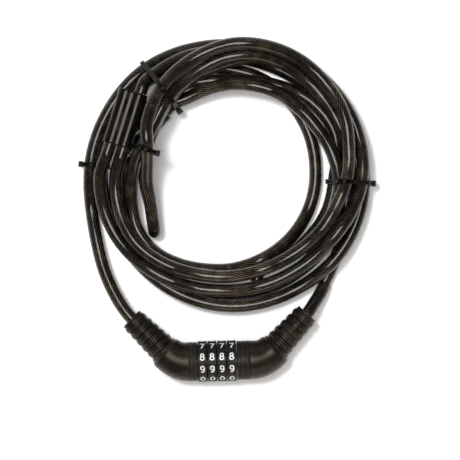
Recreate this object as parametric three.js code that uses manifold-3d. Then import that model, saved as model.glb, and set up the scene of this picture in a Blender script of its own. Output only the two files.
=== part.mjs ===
// A four-dial combination cable lock with two steel cables, laid in a coil.
// Millimetres, +Z up. The lock's own axis lies along X and the coil lies on +Y.
// The pieces are built around the middle of the dials, and the whole is then
// moved so that the origin is under the middle of the lock head, on the floor.

import * as THREE from 'three';
import { mergeVertices } from 'three/addons/utils/BufferGeometryUtils.js';
import Module from 'manifold-3d';

const wasm = await Module();
wasm.setup();

// ---------------------------------------------------------------- sizes
const runGap = 0.3;            // between pieces that turn, slide or seat
const roundSides = 32;         // sides of a turned piece

// Dials, and the code ring inside each.
const dialCount = 4;
const dialWidth = 6.6;
const dialGap = 0.4;
const dialRadius = 14.6;
const dialLandDepth = 0.7;     // how deep the grooves between the digits are
const dialDigits = 10;
const dialLandHalfAngle = 13;  // degrees
const dialPhase = 16.4;        // degrees from straight up to the middle of a land
const dialBore = 9.0;
const dialFloorGap = 0.3;
const codeRingInset = 0.8;     // how far a code ring stops short of its dial's faces
const codeRingNotchWall = 0.8;
const keyWidth = 2.4;
const keyHeight = 0.9;

// The tube that carries the dials, and the plug's pin that slides in it.
const spindleRadius = 6.2;
const pinRadius = 3.2;
const lugWidth = 1.6;
const lugLength = 1.3;
const lugReach = 7.4;
const springWidth = 3.0;
const springThickness = 0.5;
const springBump = 0.25;
const collarLength = 1.6;
const collarRadius = 8.8;

// Housings at both ends of the dials.
const housingRadius = 14.0;
const coverWall = 2.7;
const leftBandLength = 5.7;
const rightBandLength = 9.2;
const leftCoreLength = 6.6;
const rightCoreLength = 7.2;
const pinSeatLength = 3.6;
const socketLength = 6.0;
const ferruleWall = 1.7;
const ferruleLength = 5.4;
const screwRadius = 1.25;
const landLength = 3.6;
const landHalfWidth = 4.5;

// Rubber covers: a barrel, an elbow and a ribbed boot.
const leftElbow = 29.4;        // from the middle of the dials to the bend
const rightElbow = 34.1;
const leftBoot = { x: 31.5, y: 32.1 };
const rightBoot = { x: 31.6, y: 32.3 };
const ribCount = 5;
const ribPitch = 5.85;
const ribEndRadius = 9.2;
const ribElbowRadius = 10.6;
const ribHalfWidth = 2.45;
const ribTopHalfWidth = 0.9;
const ribDepth = 0.9;
const ribEndMargin = 4.6;      // from the last rib's middle to the boot's mouth
const mouthRadius = 8.1;
const elbowBend = 21.5;        // the radius that a cover's axis turns on at its elbow
const elbowSteps = 8;
const elbowRadius = 12.7;      // of a cover where its boot begins
const neckRadius = 11.5;       // of a cover next to its first rib
const neckLength = 1.5;
const hollowRadius = 8.4;      // of the room that the cable turns in
const hollowEnd = 16;          // from the elbow to where it has narrowed to the cable

// Cable, sleeves and ties.
const cableDiameter = 9.3;
const cableClearance = 0.7;    // between turns of different pieces
const ownClearance = 1.05;     // between turns of one piece
const sleeveLength = 40;
const sleeveWall = 1.1;
const sleeveBarrels = 10.0;    // between the middles of a sleeve's two bores
const sleeveRoom = 4;          // kept free past a sleeve's ends
const tieWidth = 3.2;
const tieThickness = 1.0;
const tieClearance = 0.45;
const strapSlack = 1.6;        // over what a tie passes between turns
const tieHead = 4.6;
const tieTail = 3.0;

// The coil. Its stations are read as bearings round its middle.
const foldRise = 11;           // between the legs of the eye that is folded over itself
const coilX = 12.9;
const coilY = 132.0;
const coilTwist = -1.6;        // degrees
const bearingStep = 2.5;       // degrees between the places where turns are laid
const loopSteps = 36;          // rings of each turn's solid
const loopSides = 6;
const leadSides = 10;
const leadSteps = 26;
const settleRounds = 700;
const tieReach = 4;            // steps on each side of a tie that it lifts the turns over
const strapReach = 2;
const arch = 100;              // mm, how tightly a turn bends over what it crosses

// ---------------------------------------------------------------- worked out
const cableRadius = cableDiameter / 2;
const boreRadius = cableRadius + runGap;
const axisHeight = dialRadius + dialFloorGap;
const dialPitch = dialWidth + dialGap;
const codeRingWidth = dialWidth - 2 * codeRingInset;
const coreRadius = housingRadius - coverWall - runGap;
const blockHalf = (dialCount * dialPitch) / 2;
const headEnd = blockHalf + 0.2;
const codeRingRadius = dialBore - runGap;
const codeRingBore = spindleRadius + runGap;
const spindleBore = pinRadius + runGap;
const slotWidth = lugWidth + 2 * runGap;
const tieLift = tieThickness + tieClearance + 0.1;
const floorHeight = cableRadius + 0.15;
const sleeveHalf = cableRadius + sleeveWall;
const sleeveSpan = sleeveLength + 2 * sleeveRoom;

// ---------------------------------------------------------------- tools
function toSolid(geometry) {
  const bare = geometry.index ? geometry.toNonIndexed() : geometry.clone();
  bare.deleteAttribute('normal');
  bare.deleteAttribute('uv');
  const merged = mergeVertices(bare, 1e-4);
  const position = merged.getAttribute('position');
  return new wasm.Manifold(new wasm.Mesh({
    numProp: 3,
    vertProperties: new Float32Array(position.array),
    triVerts: new Uint32Array(merged.index.array),
  }));
}

function toGeometry(solid) {
  const made = solid.getMesh();
  const geometry = new THREE.BufferGeometry();
  geometry.setAttribute('position', new THREE.BufferAttribute(made.vertProperties, 3));
  geometry.setIndex(new THREE.BufferAttribute(made.triVerts, 1));
  return geometry;
}

function join(...solids) {
  return solids.reduce((whole, next) => whole.add(next));
}

function cut(solid, ...tools) {
  return tools.reduce((whole, next) => whole.subtract(next), solid);
}

// A round bar along X, between two places, centred on the lock's axis.
function bar(radius, from, to, sides = roundSides) {
  const geometry = new THREE.CylinderGeometry(radius, radius, to - from, sides);
  geometry.rotateZ(Math.PI / 2);
  geometry.translate((from + to) / 2, 0, axisHeight);
  return toSolid(geometry);
}

function block(x0, x1, y0, y1, z0, z1) {
  const geometry = new THREE.BoxGeometry(x1 - x0, y1 - y0, z1 - z0);
  geometry.translate((x0 + x1) / 2, (y0 + y1) / 2, (z0 + z1) / 2);
  return toSolid(geometry);
}

// The faces over rings of vertices, with both ends closed.
function skin(vertices, rings, sides) {
  const faces = [];
  const ring = (n, k) => n * sides + (k % sides);
  for (let n = 0; n + 1 < rings; n++) {
    for (let k = 0; k < sides; k++) {
      faces.push(ring(n, k), ring(n, k + 1), ring(n + 1, k + 1));
      faces.push(ring(n, k), ring(n + 1, k + 1), ring(n + 1, k));
    }
  }
  const last = rings - 1;
  for (let k = 1; k + 1 < sides; k++) {
    faces.push(ring(0, 0), ring(0, k + 1), ring(0, k));
    faces.push(ring(last, 0), ring(last, k), ring(last, k + 1));
  }
  const geometry = new THREE.BufferGeometry();
  geometry.setAttribute('position', new THREE.Float32BufferAttribute(vertices, 3));
  geometry.setIndex(faces);
  return geometry;
}

// A closed tube through points, each with a ring square to the route.
function tube(points, sides, radius) {
  const vertices = [];
  let side = new THREE.Vector3();
  points.forEach((point, n) => {
    const before = points[Math.max(n - 1, 0)];
    const after = points[Math.min(n + 1, points.length - 1)];
    const along = after.clone().sub(before).normalize();
    if (n === 0) side = new THREE.Vector3(0, 0, 1).cross(along).normalize();
    side.addScaledVector(along, -side.dot(along)).normalize();
    const up = along.clone().cross(side);
    for (let k = 0; k < sides; k++) {
      const turn = ((k + 0.5) / sides) * 2 * Math.PI;
      const at = point.clone()
        .addScaledVector(side, radius * Math.cos(turn))
        .addScaledVector(up, radius * Math.sin(turn));
      vertices.push(at.x, at.y, at.z);
    }
  });
  return skin(vertices, points.length, sides);
}

// A closed solid through round rings: stations are [place, direction, radius].
function swept(stations, sides = roundSides) {
  const up = new THREE.Vector3(0, 0, 1);
  const vertices = [];
  for (const [middle, heading, radius] of stations) {
    const across = up.clone().cross(heading).normalize();
    for (let k = 0; k < sides; k++) {
      const turn = (k / sides) * 2 * Math.PI;
      const at = middle.clone()
        .addScaledVector(across, radius * Math.cos(turn))
        .addScaledVector(up, radius * Math.sin(turn));
      vertices.push(at.x, at.y, at.z);
    }
  }
  return toSolid(skin(vertices, stations.length, sides));
}

// ---------------------------------------------------------------- materials
function finish(colour, roughness, metalness) {
  return () => new THREE.MeshStandardMaterial({ color: colour, roughness, metalness });
}
const rubber = finish(0x26211f, 0.6, 0);
const dialPlastic = finish(0x1b1a1c, 0.4, 0);
const blackMetal = finish(0x1f1d1e, 0.4, 0.6);
const steel = finish(0x9a9a9c, 0.35, 1);
const springSteel = finish(0x7d8084, 0.3, 1);
const brass = finish(0xb08d4a, 0.4, 1);
const vinyl = finish(0x2a2524, 0.25, 0);
const sleeveBlack = finish(0x161415, 0.3, 0.3);
const tieNylon = finish(0x151313, 0.45, 0);

const group = new THREE.Group();
const meshes = {};

function place(name, geometry, material) {
  const mesh = new THREE.Mesh(geometry, material());
  mesh.name = name;
  meshes[name] = mesh;
  group.add(mesh);
}

// ---------------------------------------------------------------- lock head
function dialCentre(n) {
  return (n - (dialCount - 1) / 2) * dialPitch;
}

function dialOutline() {
  const outline = [];
  const half = THREE.MathUtils.degToRad(dialLandHalfAngle);
  const pitch = (2 * Math.PI) / dialDigits;
  for (let digit = 0; digit < dialDigits; digit++) {
    const middle = digit * pitch - THREE.MathUtils.degToRad(dialPhase);
    for (const turn of [-half, 0, half]) {
      outline.push([middle + turn, dialRadius]);
    }
    outline.push([middle + pitch / 2, dialRadius - dialLandDepth]);
  }
  return outline.map(([turn, r]) => new THREE.Vector2(r * Math.cos(turn), r * Math.sin(turn)));
}

function makeDial(n) {
  const shape = new THREE.Shape(dialOutline());
  const geometry = new THREE.ExtrudeGeometry(shape, { depth: dialWidth, bevelEnabled: false });
  geometry.rotateY(Math.PI / 2);
  geometry.translate(dialCentre(n) - dialWidth / 2, 0, axisHeight);
  const from = dialCentre(n) - dialWidth;
  const to = dialCentre(n) + dialWidth;
  const keyHalf = keyWidth / 2 + runGap;
  const keyTop = axisHeight - codeRingRadius - keyHeight - runGap;
  const keySlot = block(from, to, -keyHalf, keyHalf, keyTop, axisHeight);
  return cut(toSolid(geometry), bar(dialBore, from, to), keySlot);
}

function makeCodeRing(n) {
  const from = dialCentre(n) - codeRingWidth / 2;
  const to = dialCentre(n) + codeRingWidth / 2;
  const key = block(from, to, -keyWidth / 2, keyWidth / 2,
    axisHeight - codeRingRadius - keyHeight, axisHeight - codeRingRadius + 1);
  const notch = block(from - 1, to + 1, -slotWidth / 2, slotWidth / 2,
    axisHeight, axisHeight + codeRingRadius - codeRingNotchWall);
  return cut(join(bar(codeRingRadius, from, to), key), bar(codeRingBore, from - 1, to + 1), notch);
}

function makeSpindle() {
  const from = -headEnd - collarLength;
  const to = headEnd + pinSeatLength + 2;
  const slotEnd = blockHalf + lugLength;
  const slot = block(from - 1, slotEnd, -slotWidth / 2, slotWidth / 2,
    axisHeight, axisHeight + 2 * spindleRadius);
  const grooveDepth = springThickness + springBump + 0.25;
  const groove = block(-blockHalf, blockHalf, -springWidth / 2 - runGap, springWidth / 2 + runGap,
    axisHeight - 2 * spindleRadius, axisHeight - spindleRadius + grooveDepth);
  return cut(bar(spindleRadius, from, to), bar(spindleBore, from - 1, to - 1), slot, groove);
}

// A leaf spring that clicks each dial, in a groove along the spindle's underside.
function makeDetentSpring() {
  const half = blockHalf - runGap;
  const seat = -spindleRadius + springThickness + springBump + 0.25 - 0.1;
  const shape = new THREE.Shape();
  shape.moveTo(-half, seat);
  shape.lineTo(half, seat);
  shape.lineTo(half, seat - springThickness);
  for (let n = dialCount - 1; n >= 0; n--) {
    const middle = dialCentre(n);
    shape.lineTo(middle + 1.5, seat - springThickness);
    shape.lineTo(middle, seat - springThickness - springBump);
    shape.lineTo(middle - 1.5, seat - springThickness);
  }
  shape.lineTo(-half, seat - springThickness);
  const geometry = new THREE.ExtrudeGeometry(shape, { depth: springWidth, bevelEnabled: false });
  geometry.translate(0, 0, -springWidth / 2);
  geometry.rotateX(Math.PI / 2);
  geometry.translate(0, 0, axisHeight);
  return toSolid(geometry);
}

function makeEndCollar() {
  const from = -headEnd - collarLength + 0.2;
  const to = -headEnd + 0.05;
  const slot = block(from - 1, to + 1, -slotWidth / 2, slotWidth / 2,
    axisHeight, axisHeight + collarRadius - 1);
  return cut(bar(collarRadius, from, to), bar(codeRingBore, from - 1, to + 1), slot);
}

function makePlugPin() {
  const tip = blockHalf + lugLength / 2;
  const lugs = [];
  for (let n = 0; n < dialCount; n++) {
    const middle = dialCentre(n) + dialPitch / 2;
    lugs.push(block(middle - lugLength / 2, middle + lugLength / 2,
      -lugWidth / 2, lugWidth / 2, axisHeight, axisHeight + lugReach));
  }
  const root = -headEnd - collarLength - pinSeatLength;
  return join(bar(pinRadius, root, tip), ...lugs);
}

// The flat that the housing rests on, under its band.
function restLand(from, to) {
  const middle = (from + to) / 2;
  return block(middle - landLength / 2, middle + landLength / 2,
    -landHalfWidth, landHalfWidth, 0, axisHeight - coreRadius);
}

function screwHole(middle) {
  const geometry = new THREE.CylinderGeometry(
    screwRadius + runGap, screwRadius + runGap, housingRadius, 16);
  geometry.rotateX(Math.PI / 2);
  geometry.translate(middle, 0, axisHeight + boreRadius + ferruleWall + housingRadius / 2);
  return toSolid(geometry);
}

function makeScrew(middle) {
  const from = axisHeight + boreRadius + ferruleWall + runGap + 0.2;
  const to = axisHeight + coreRadius;
  const geometry = new THREE.CylinderGeometry(screwRadius, screwRadius, to - from, 16);
  geometry.rotateX(Math.PI / 2);
  geometry.translate(middle, 0, (from + to) / 2);
  return toSolid(geometry);
}

function ferruleSpan(side) {
  const end = side * (headEnd + (side > 0 ? rightBandLength + rightCoreLength
    : leftBandLength + leftCoreLength));
  const start = end - side * ferruleLength;
  return [Math.min(start, end), Math.max(start, end)];
}

function makeHousing(side) {
  const band = side > 0 ? rightBandLength : leftBandLength;
  const core = side > 0 ? rightCoreLength : leftCoreLength;
  const near = side * headEnd;
  const bandEnd = side * (headEnd + band);
  const coreEnd = side * (headEnd + band + core);
  const span = (a, b) => [Math.min(a, b), Math.max(a, b)];
  const recess = side > 0 ? lugLength : collarLength + runGap;
  const innerRadius = side > 0 ? codeRingBore : spindleBore;
  const innerEnd = near + side * (recess + (side > 0 ? pinSeatLength + 1 : pinSeatLength));
  const socket = span(coreEnd - side * socketLength, coreEnd + side);
  const [f0, f1] = ferruleSpan(side);
  return cut(
    join(bar(housingRadius, ...span(near, bandEnd)), bar(coreRadius, ...span(near, coreEnd)),
      restLand(near, bandEnd)),
    bar(collarRadius + runGap, ...span(near - side, near + side * recess)),
    bar(innerRadius, ...span(near - side, innerEnd)),
    bar(boreRadius + ferruleWall + runGap, ...socket),
    screwHole((f0 + f1) / 2),
  );
}

function makeFerrule(side) {
  const [from, to] = ferruleSpan(side);
  return cut(bar(boreRadius + ferruleWall, from, to), bar(boreRadius, from - 1, to + 1));
}

function bootAxis(side) {
  const boot = side > 0 ? rightBoot : leftBoot;
  const elbow = side > 0 ? rightElbow : leftElbow;
  const start = new THREE.Vector3(side * elbow, 0, axisHeight);
  const end = new THREE.Vector3(side * (elbow + boot.x), boot.y, axisHeight);
  const direction = end.clone().sub(start);
  const length = direction.length();
  return { start, end, length, direction: direction.normalize() };
}

// The boot's outside, from its neck to its mouth: [distance from the elbow, radius].
function bootProfile(length) {
  const first = length - ribEndMargin - (ribCount - 1) * ribPitch;
  const profile = [[first - ribHalfWidth - neckLength, neckRadius]];
  for (let n = 0; n < ribCount; n++) {
    const middle = first + n * ribPitch;
    const top = THREE.MathUtils.lerp(ribElbowRadius, ribEndRadius, n / (ribCount - 1));
    profile.push([middle - ribHalfWidth, top - ribDepth]);
    profile.push([middle - ribTopHalfWidth, top]);
    profile.push([middle + ribTopHalfWidth, top]);
    profile.push([middle + ribHalfWidth, top - ribDepth]);
  }
  profile.push([length, mouthRadius]);
  return profile;
}

// The rings round a cover's bend, their radius changing evenly.
function elbowStations(side, from, to) {
  const { start, direction } = bootAxis(side);
  const turn = Math.atan2(direction.y, Math.abs(direction.x));
  const reach = elbowBend * Math.tan(turn / 2);
  const pivot = new THREE.Vector3(start.x - side * reach, elbowBend, axisHeight);
  const stations = [];
  for (let n = 0; n <= elbowSteps; n++) {
    const share = n / elbowSteps;
    const angle = turn * share;
    const heading = new THREE.Vector3(side * Math.cos(angle), Math.sin(angle), 0);
    const outward = new THREE.Vector3(side * Math.sin(angle), -Math.cos(angle), 0);
    const middle = pivot.clone().addScaledVector(outward, elbowBend);
    stations.push([middle, heading, THREE.MathUtils.lerp(from, to, share)]);
  }
  return stations;
}

function makeCover(side) {
  const band = side > 0 ? rightBandLength : leftBandLength;
  const core = side > 0 ? rightCoreLength : leftCoreLength;
  const { start, length, direction } = bootAxis(side);
  const near = side * (headEnd + band + runGap);
  const coreEnd = side * (headEnd + band + core);
  const heading = new THREE.Vector3(side, 0, 0);
  const onAxis = (x) => new THREE.Vector3(x, 0, axisHeight);
  const onBoot = (along) => start.clone().addScaledVector(direction, along);
  const outside = swept([
    [onAxis(near), heading, housingRadius],
    ...elbowStations(side, housingRadius, elbowRadius),
    ...bootProfile(length).map(([along, radius]) => [onBoot(along), direction, radius]),
  ]);
  const room = swept([
    ...elbowStations(side, hollowRadius, hollowRadius),
    [onBoot(hollowEnd), direction, boreRadius],
    [onBoot(length + 1), direction, boreRadius],
  ]);
  const barrel = [near - side, coreEnd + side * runGap].sort((a, b) => a - b);
  return cut(outside, bar(coreRadius + runGap, ...barrel), room);
}

for (let n = 0; n < dialCount; n++) {
  place(`dial_${n + 1}`, toGeometry(makeDial(n)), dialPlastic);
  place(`code_ring_${n + 1}`, toGeometry(makeCodeRing(n)), brass);
}
place('spindle_tube', toGeometry(makeSpindle()), steel);
place('detent_spring', toGeometry(makeDetentSpring()), springSteel);
place('end_collar', toGeometry(makeEndCollar()), steel);
place('plug_pin', toGeometry(makePlugPin()), steel);
for (const [side, word] of [[-1, 'left'], [1, 'right']]) {
  const [f0, f1] = ferruleSpan(side);
  place(`${word}_housing`, toGeometry(makeHousing(side)), blackMetal);
  place(`${word}_ferrule`, toGeometry(makeFerrule(side)), steel);
  place(`${word}_clamp_screw`, toGeometry(makeScrew((f0 + f1) / 2)), steel);
  place(`${word}_cover`, toGeometry(makeCover(side)), rubber);
}

// ---------------------------------------------------------------- coil
// Each run of cable is a list of stations: [bearing in degrees, radius, rank].
// Where two runs cross, the one with the higher rank lies on the other.
const runs = {
  right_coil: [[315, 100.4, 1], [320, 97.6, 1], [330, 93.2, 1], [345, 90.0, 1], [360, 88.2, 1],
    [375, 87.1, 1], [405, 86.4, 1], [415, 86.2, 1.1], [420, 86.1, 2.2], [430, 86.0, 2.3],
    [445, 86.8, 2.4], [455, 88.9, 2.5], [465, 92.2, 3], [480, 92.0, 3]],
  left_coil: [[187.5, 102.2, 3], [170, 100.6, 2.5], [150, 99.6, 2], [130, 99.1, 2],
    [115, 98.1, 2], [100, 96.6, 2], [85, 95.8, 2], [60, 96.5, 2], [30, 96.5, 2], [0, 96.8, 3],
    [-30, 96.4, 3], [-60, 94.1, 2], [-90, 93.1, 2], [-110, 91.9, 2], [-130, 90.8, 2],
    [-145, 90.6, 1.5], [-165, 91.8, 1], [-180, 92.9, 1], [-195, 94.3, 1], [-225, 92.9, 1],
    [-240, 88.6, 1], [-255, 82.8, 1], [-270, 78.5, 1], [-285, 75.6, 1], [-300, 72.7, 1],
    [-315, 68.8, 1], [-330, 65.9, 1.2], [-345, 63.5, 2], [-360, 62.1, 2], [-390, 61.6, 2],
    [-420, 62.6, 2], [-435, 64.1, 2], [-450, 66.5, 2], [-465, 69.0, 2], [-480, 72.7, 2],
    [-495, 76.4, 2], [-510, 76.9, 3], [-525, 73.4, 3], [-540, 70.2, 3.2], [-550, 68.2, 4],
    [-560, 65.4, 6], [-570, 65.2, 7], [-580, 67.0, 7], [-595, 72.4, 7], [-610, 77.4, 7],
    [-630, 85.5, 7], [-650, 89.3, 7], [-670, 88.3, 7], [-690, 86.8, 7], [-702.5, 86.5, 5],
    [-710, 86.3, 2.2], [-720, 86.0, 1.8], [-750, 85.0, 1.6], [-780, 84.6, 1.5],
    [-810, 84.6, 1.5], [-840, 84.2, 1.5], [-855, 81.0, 1.2], [-870, 79.6, 1],
    [-882.5, 79.6, 1], [-892.5, 79.8, 1]],
  over_leg: [[177.5, 81.7, 9], [185, 82.4, 9], [200, 83.2, 9], [215, 82.3, 9],
    [230, 78.8, 9], [250, 73.9, 9], [270, 71.4, 9], [290, 70.1, 9], [310, 71.6, 9],
    [330, 75.5, 9], [345, 78.5, 9], [360, 83.5, 9], [375, 87.5, 9], [390, 92.7, 9],
    [405, 95.4, 9], [420, 96.8, 9], [435, 96.0, 9], [450, 93.6, 9], [465, 88.4, 9],
    [480, 82.6, 9], [495, 75.6, 9], [510, 68.0, 9], [520, 62.0, 9], [530, 59.4, 9],
    [545, 59.2, 9], [556, 59.6, 9], [564, 61.6, 9], [571, 64.4, 9]],
  under_leg: [[177.5, 93.2, 5], [185, 94.0, 5], [200, 93.1, 5], [215, 91.0, 5],
    [230, 87.8, 5], [250, 83.9, 5], [270, 81.5, 5], [290, 81.2, 5], [310, 82.3, 5],
    [330, 85.7, 5], [345, 90.6, 5], [360, 95.0, 5], [375, 96.8, 5], [395, 97.4, 5],
    [410, 96.9, 5], [425, 93.6, 5], [440, 87.1, 5], [455, 81.0, 5], [470, 76.7, 5],
    [485, 71.6, 5], [500, 66.6, 5], [510, 64.1, 4.5], [520, 62.6, 4], [527.5, 62.4, 3.6], [535, 62.0, 1],
    [545, 61.3, 1], [556, 60.6, 1], [564, 62.1, 1], [571, 64.4, 1]],
  inner_leg: [[120, 64.8, 2.5], [115, 64.6, 2.5], [105, 65.2, 2.5], [90, 66.5, 2.5], [75, 67.5, 2.5],
    [60, 69.1, 2.5], [45, 69.8, 2.5], [30, 71.6, 2.5], [15, 74.9, 2.5], [0, 77.9, 2.5],
    [-20, 81.0, 2.5], [-45, 82.4, 2.5], [-70, 82.8, 2.5]],
  outer_leg: [[122.5, 77.5, 1.5], [115, 74.9, 1.5], [105, 72.0, 1.5], [90, 69.8, 1.5],
    [75, 71.3, 1.5], [60, 75.0, 1.5], [45, 79.4, 1.5], [30, 81.8, 1.5], [22.5, 81.7, 1.5],
    [10, 78.5, 1.5], [0, 75.8, 1.5], [-20, 74.5, 1.5], [-45, 71.3, 1.5], [-70, 70.6, 1.5]],
};

// Crimped sleeves: the bearing and radius of the middle, and how far the sleeve
// leans from the coil's own direction there, in degrees.
const sleeves = {
  left_sleeve: { bearing: 151.5, radius: 72.4, lean: -12, rank: 3 },
  right_sleeve: { bearing: 151.0, radius: 85.6, lean: 11.8, rank: 8 },
};

const folds = [['over_leg', 'under_leg'], ['inner_leg', 'outer_leg']];

// Ties: the bearing, and the least and greatest radius of the turns inside.
const ties = {
  lead_tie: { bearing: 175, inner: 88, outer: 106, top: 4, side: 1 },
  bundle_tie: { bearing: 127.5, inner: 60, outer: 106, top: 10, side: -1 },
  fold_tie: { bearing: 162.5, inner: 56, outer: 68, top: 10, side: -1 },
  side_tie: { bearing: -2.5, inner: 70, outer: 106, top: 10, side: 1 },
};

function onCoil(bearing, radius, height) {
  const turn = THREE.MathUtils.degToRad(bearing + coilTwist);
  return new THREE.Vector3(
    coilX + radius * Math.cos(turn), coilY + radius * Math.sin(turn), height);
}

function sliceOf(bearing) {
  const count = Math.round(360 / bearingStep);
  const n = Math.round(bearing / bearingStep) % count;
  return (n + count) % count;
}

// A smooth radius and a straight rank between stations.
function stationAt(stations, bearing) {
  const slope = (n) => {
    const a = stations[Math.max(n - 1, 0)];
    const b = stations[Math.min(n + 1, stations.length - 1)];
    return (b[1] - a[1]) / (b[0] - a[0]);
  };
  const way = Math.sign(stations[1][0] - stations[0][0]);
  let n = 0;
  while (n + 2 < stations.length && way * bearing > way * stations[n + 1][0]) n++;
  const [a, b] = [stations[n], stations[n + 1]];
  const width = b[0] - a[0];
  const t = (bearing - a[0]) / width;
  const radius = a[1] * (1 + 2 * t) * (1 - t) ** 2 + b[1] * t * t * (3 - 2 * t)
    + slope(n) * width * t * (1 - t) ** 2 + slope(n + 1) * width * t * t * (t - 1);
  return { bearing, radius, rank: a[2] + (b[2] - a[2]) * t };
}

// The two bores of a sleeve as straight lines.
function sleeveFrame({ bearing, radius, lean }) {
  const middle = onCoil(bearing, radius, 0);
  const heading = THREE.MathUtils.degToRad(bearing + coilTwist + 90 + lean);
  const along = new THREE.Vector3(Math.cos(heading), Math.sin(heading), 0);
  const across = new THREE.Vector3(along.y, -along.x, 0);
  return { middle, along, across };
}

function inSleeve(sleeve, along, bore) {
  const frame = sleeveFrame(sleeve);
  const at = frame.middle.clone()
    .addScaledVector(frame.along, along)
    .addScaledVector(frame.across, bore * sleeveBarrels);
  const dx = at.x - coilX;
  const dy = at.y - coilY;
  const bearing = THREE.MathUtils.radToDeg(Math.atan2(dy, dx)) - coilTwist;
  return { bearing, radius: Math.hypot(dx, dy), rank: sleeve.rank };
}

// Where a run ends in a sleeve: end is the sleeve's end, bore the side it goes in by.
const joins = {
  right_coil: { atEnd: true, sleeve: 'right_sleeve', end: -1, bore: -0.5 },
  over_leg: { atEnd: false, sleeve: 'right_sleeve', end: 1, bore: -0.5 },
  under_leg: { atEnd: false, sleeve: 'right_sleeve', end: 1, bore: 0.5 },
  left_coil: { atEnd: true, sleeve: 'left_sleeve', end: 1, bore: -0.5 },
  inner_leg: { atEnd: false, sleeve: 'left_sleeve', end: -1, bore: -0.5 },
  outer_leg: { atEnd: false, sleeve: 'left_sleeve', end: -1, bore: 0.5 },
};
const owners = {
  over_leg: 'right_eye', under_leg: 'right_eye', inner_leg: 'left_eye', outer_leg: 'left_eye',
};
const mouths = [sleeveLength / 2 + runGap, sleeveLength / 2 + runGap + cableDiameter];

// The rings of a run: at even bearings, with straight ends where it meets a sleeve.
function ringsOf(name) {
  const stations = runs[name];
  const first = stations[0][0];
  const last = stations[stations.length - 1][0];
  const way = Math.sign(last - first);
  const step = 360 / loopSteps;
  const rings = [stationAt(stations, first)];
  for (let n = Math.ceil((way * first) / step + 0.3); n * step < way * last - step * 0.3; n++) {
    rings.push(stationAt(stations, way * n * step));
  }
  rings.push(stationAt(stations, last));
  const found = joins[name];
  if (found) {
    const near = found.atEnd ? last : first;
    const ends = mouths.map((along) => {
      const ring = inSleeve(sleeves[found.sleeve], found.end * along, found.bore);
      ring.bearing += 360 * Math.round((near - ring.bearing) / 360);
      return { ...ring, sleeve: found.sleeve };
    });
    if (found.atEnd) rings.push(...ends.reverse());
    else rings.unshift(...ends);
  }
  const owner = owners[name] ?? name;
  return rings.map((ring) => ({ ...ring, owner, height: floorHeight, half: cableRadius }));
}

// Places every few degrees along a run, each on the straight between two rings.
function placesOf(rings, stations) {
  const places = [];
  for (let n = 0; n + 1 < rings.length; n++) {
    const [a, b] = [rings[n], rings[n + 1]];
    const way = Math.sign(b.bearing - a.bearing);
    const width = THREE.MathUtils.degToRad(Math.abs(b.bearing - a.bearing));
    const from = Math.ceil((way * a.bearing) / bearingStep - 1e-6);
    for (let k = from; k * bearingStep < way * b.bearing - 1e-6; k++) {
      const bearing = way * k * bearingStep;
      const turn = THREE.MathUtils.degToRad(Math.abs(bearing - a.bearing));
      const near = a.radius * Math.sin(turn);
      const far = b.radius * Math.sin(width - turn);
      const t = near / (near + far);
      const radius = (a.radius * b.radius * Math.sin(width)) / (near + far);
      const rank = a.sleeve || b.sleeve ? a.rank + (b.rank - a.rank) * t
        : stationAt(stations, bearing).rank;
      places.push({ a, b, t, bearing, radius, rank, owner: a.owner, half: cableRadius, height: 0 });
    }
  }
  return places;
}

function sleevePlaces(name) {
  const places = [];
  for (const bore of [-0.5, 0, 0.5]) {
    const seen = new Set();
    for (let along = -sleeveSpan / 2; along <= sleeveSpan / 2; along += 0.5) {
      const at = inSleeve(sleeves[name], along, bore);
      const slice = sliceOf(at.bearing);
      if (seen.has(slice)) continue;
      seen.add(slice);
      places.push({ ...at, owner: name, half: sleeveHalf, height: sleeveHalf });
    }
  }
  return places;
}

// The flat turned-back end of the left eye, for what lies over it.
function foldPlaces() {
  const places = [];
  const [inner, outer] = [runs.inner_leg, runs.outer_leg].map((run) => run[run.length - 1]);
  for (const [turn, part] of [[bearingStep, 0.9], [2 * bearingStep, 0.4], [3 * bearingStep, 0.1]]) {
    for (const side of [-part, 0, part]) {
      const radius = (inner[1] + outer[1]) / 2 + (side * (inner[1] - outer[1])) / 2;
      places.push({
        bearing: inner[0] - turn, radius, rank: outer[2], owner: 'left_eye', half: cableRadius, height: 0,
      });
    }
  }
  return places;
}

// The tie that goes round a place, if it lies within so many steps of one.
function tieRound({ bearing, radius, rank }, reach) {
  const count = Math.round(360 / bearingStep);
  return Object.keys(ties).find((name) => {
    const tie = ties[name];
    const off = Math.abs(sliceOf(bearing) - sliceOf(tie.bearing));
    const near = Math.min(off, count - off) <= reach;
    return near && radius > tie.inner && radius < tie.outer && rank < tie.top;
  });
}

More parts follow.
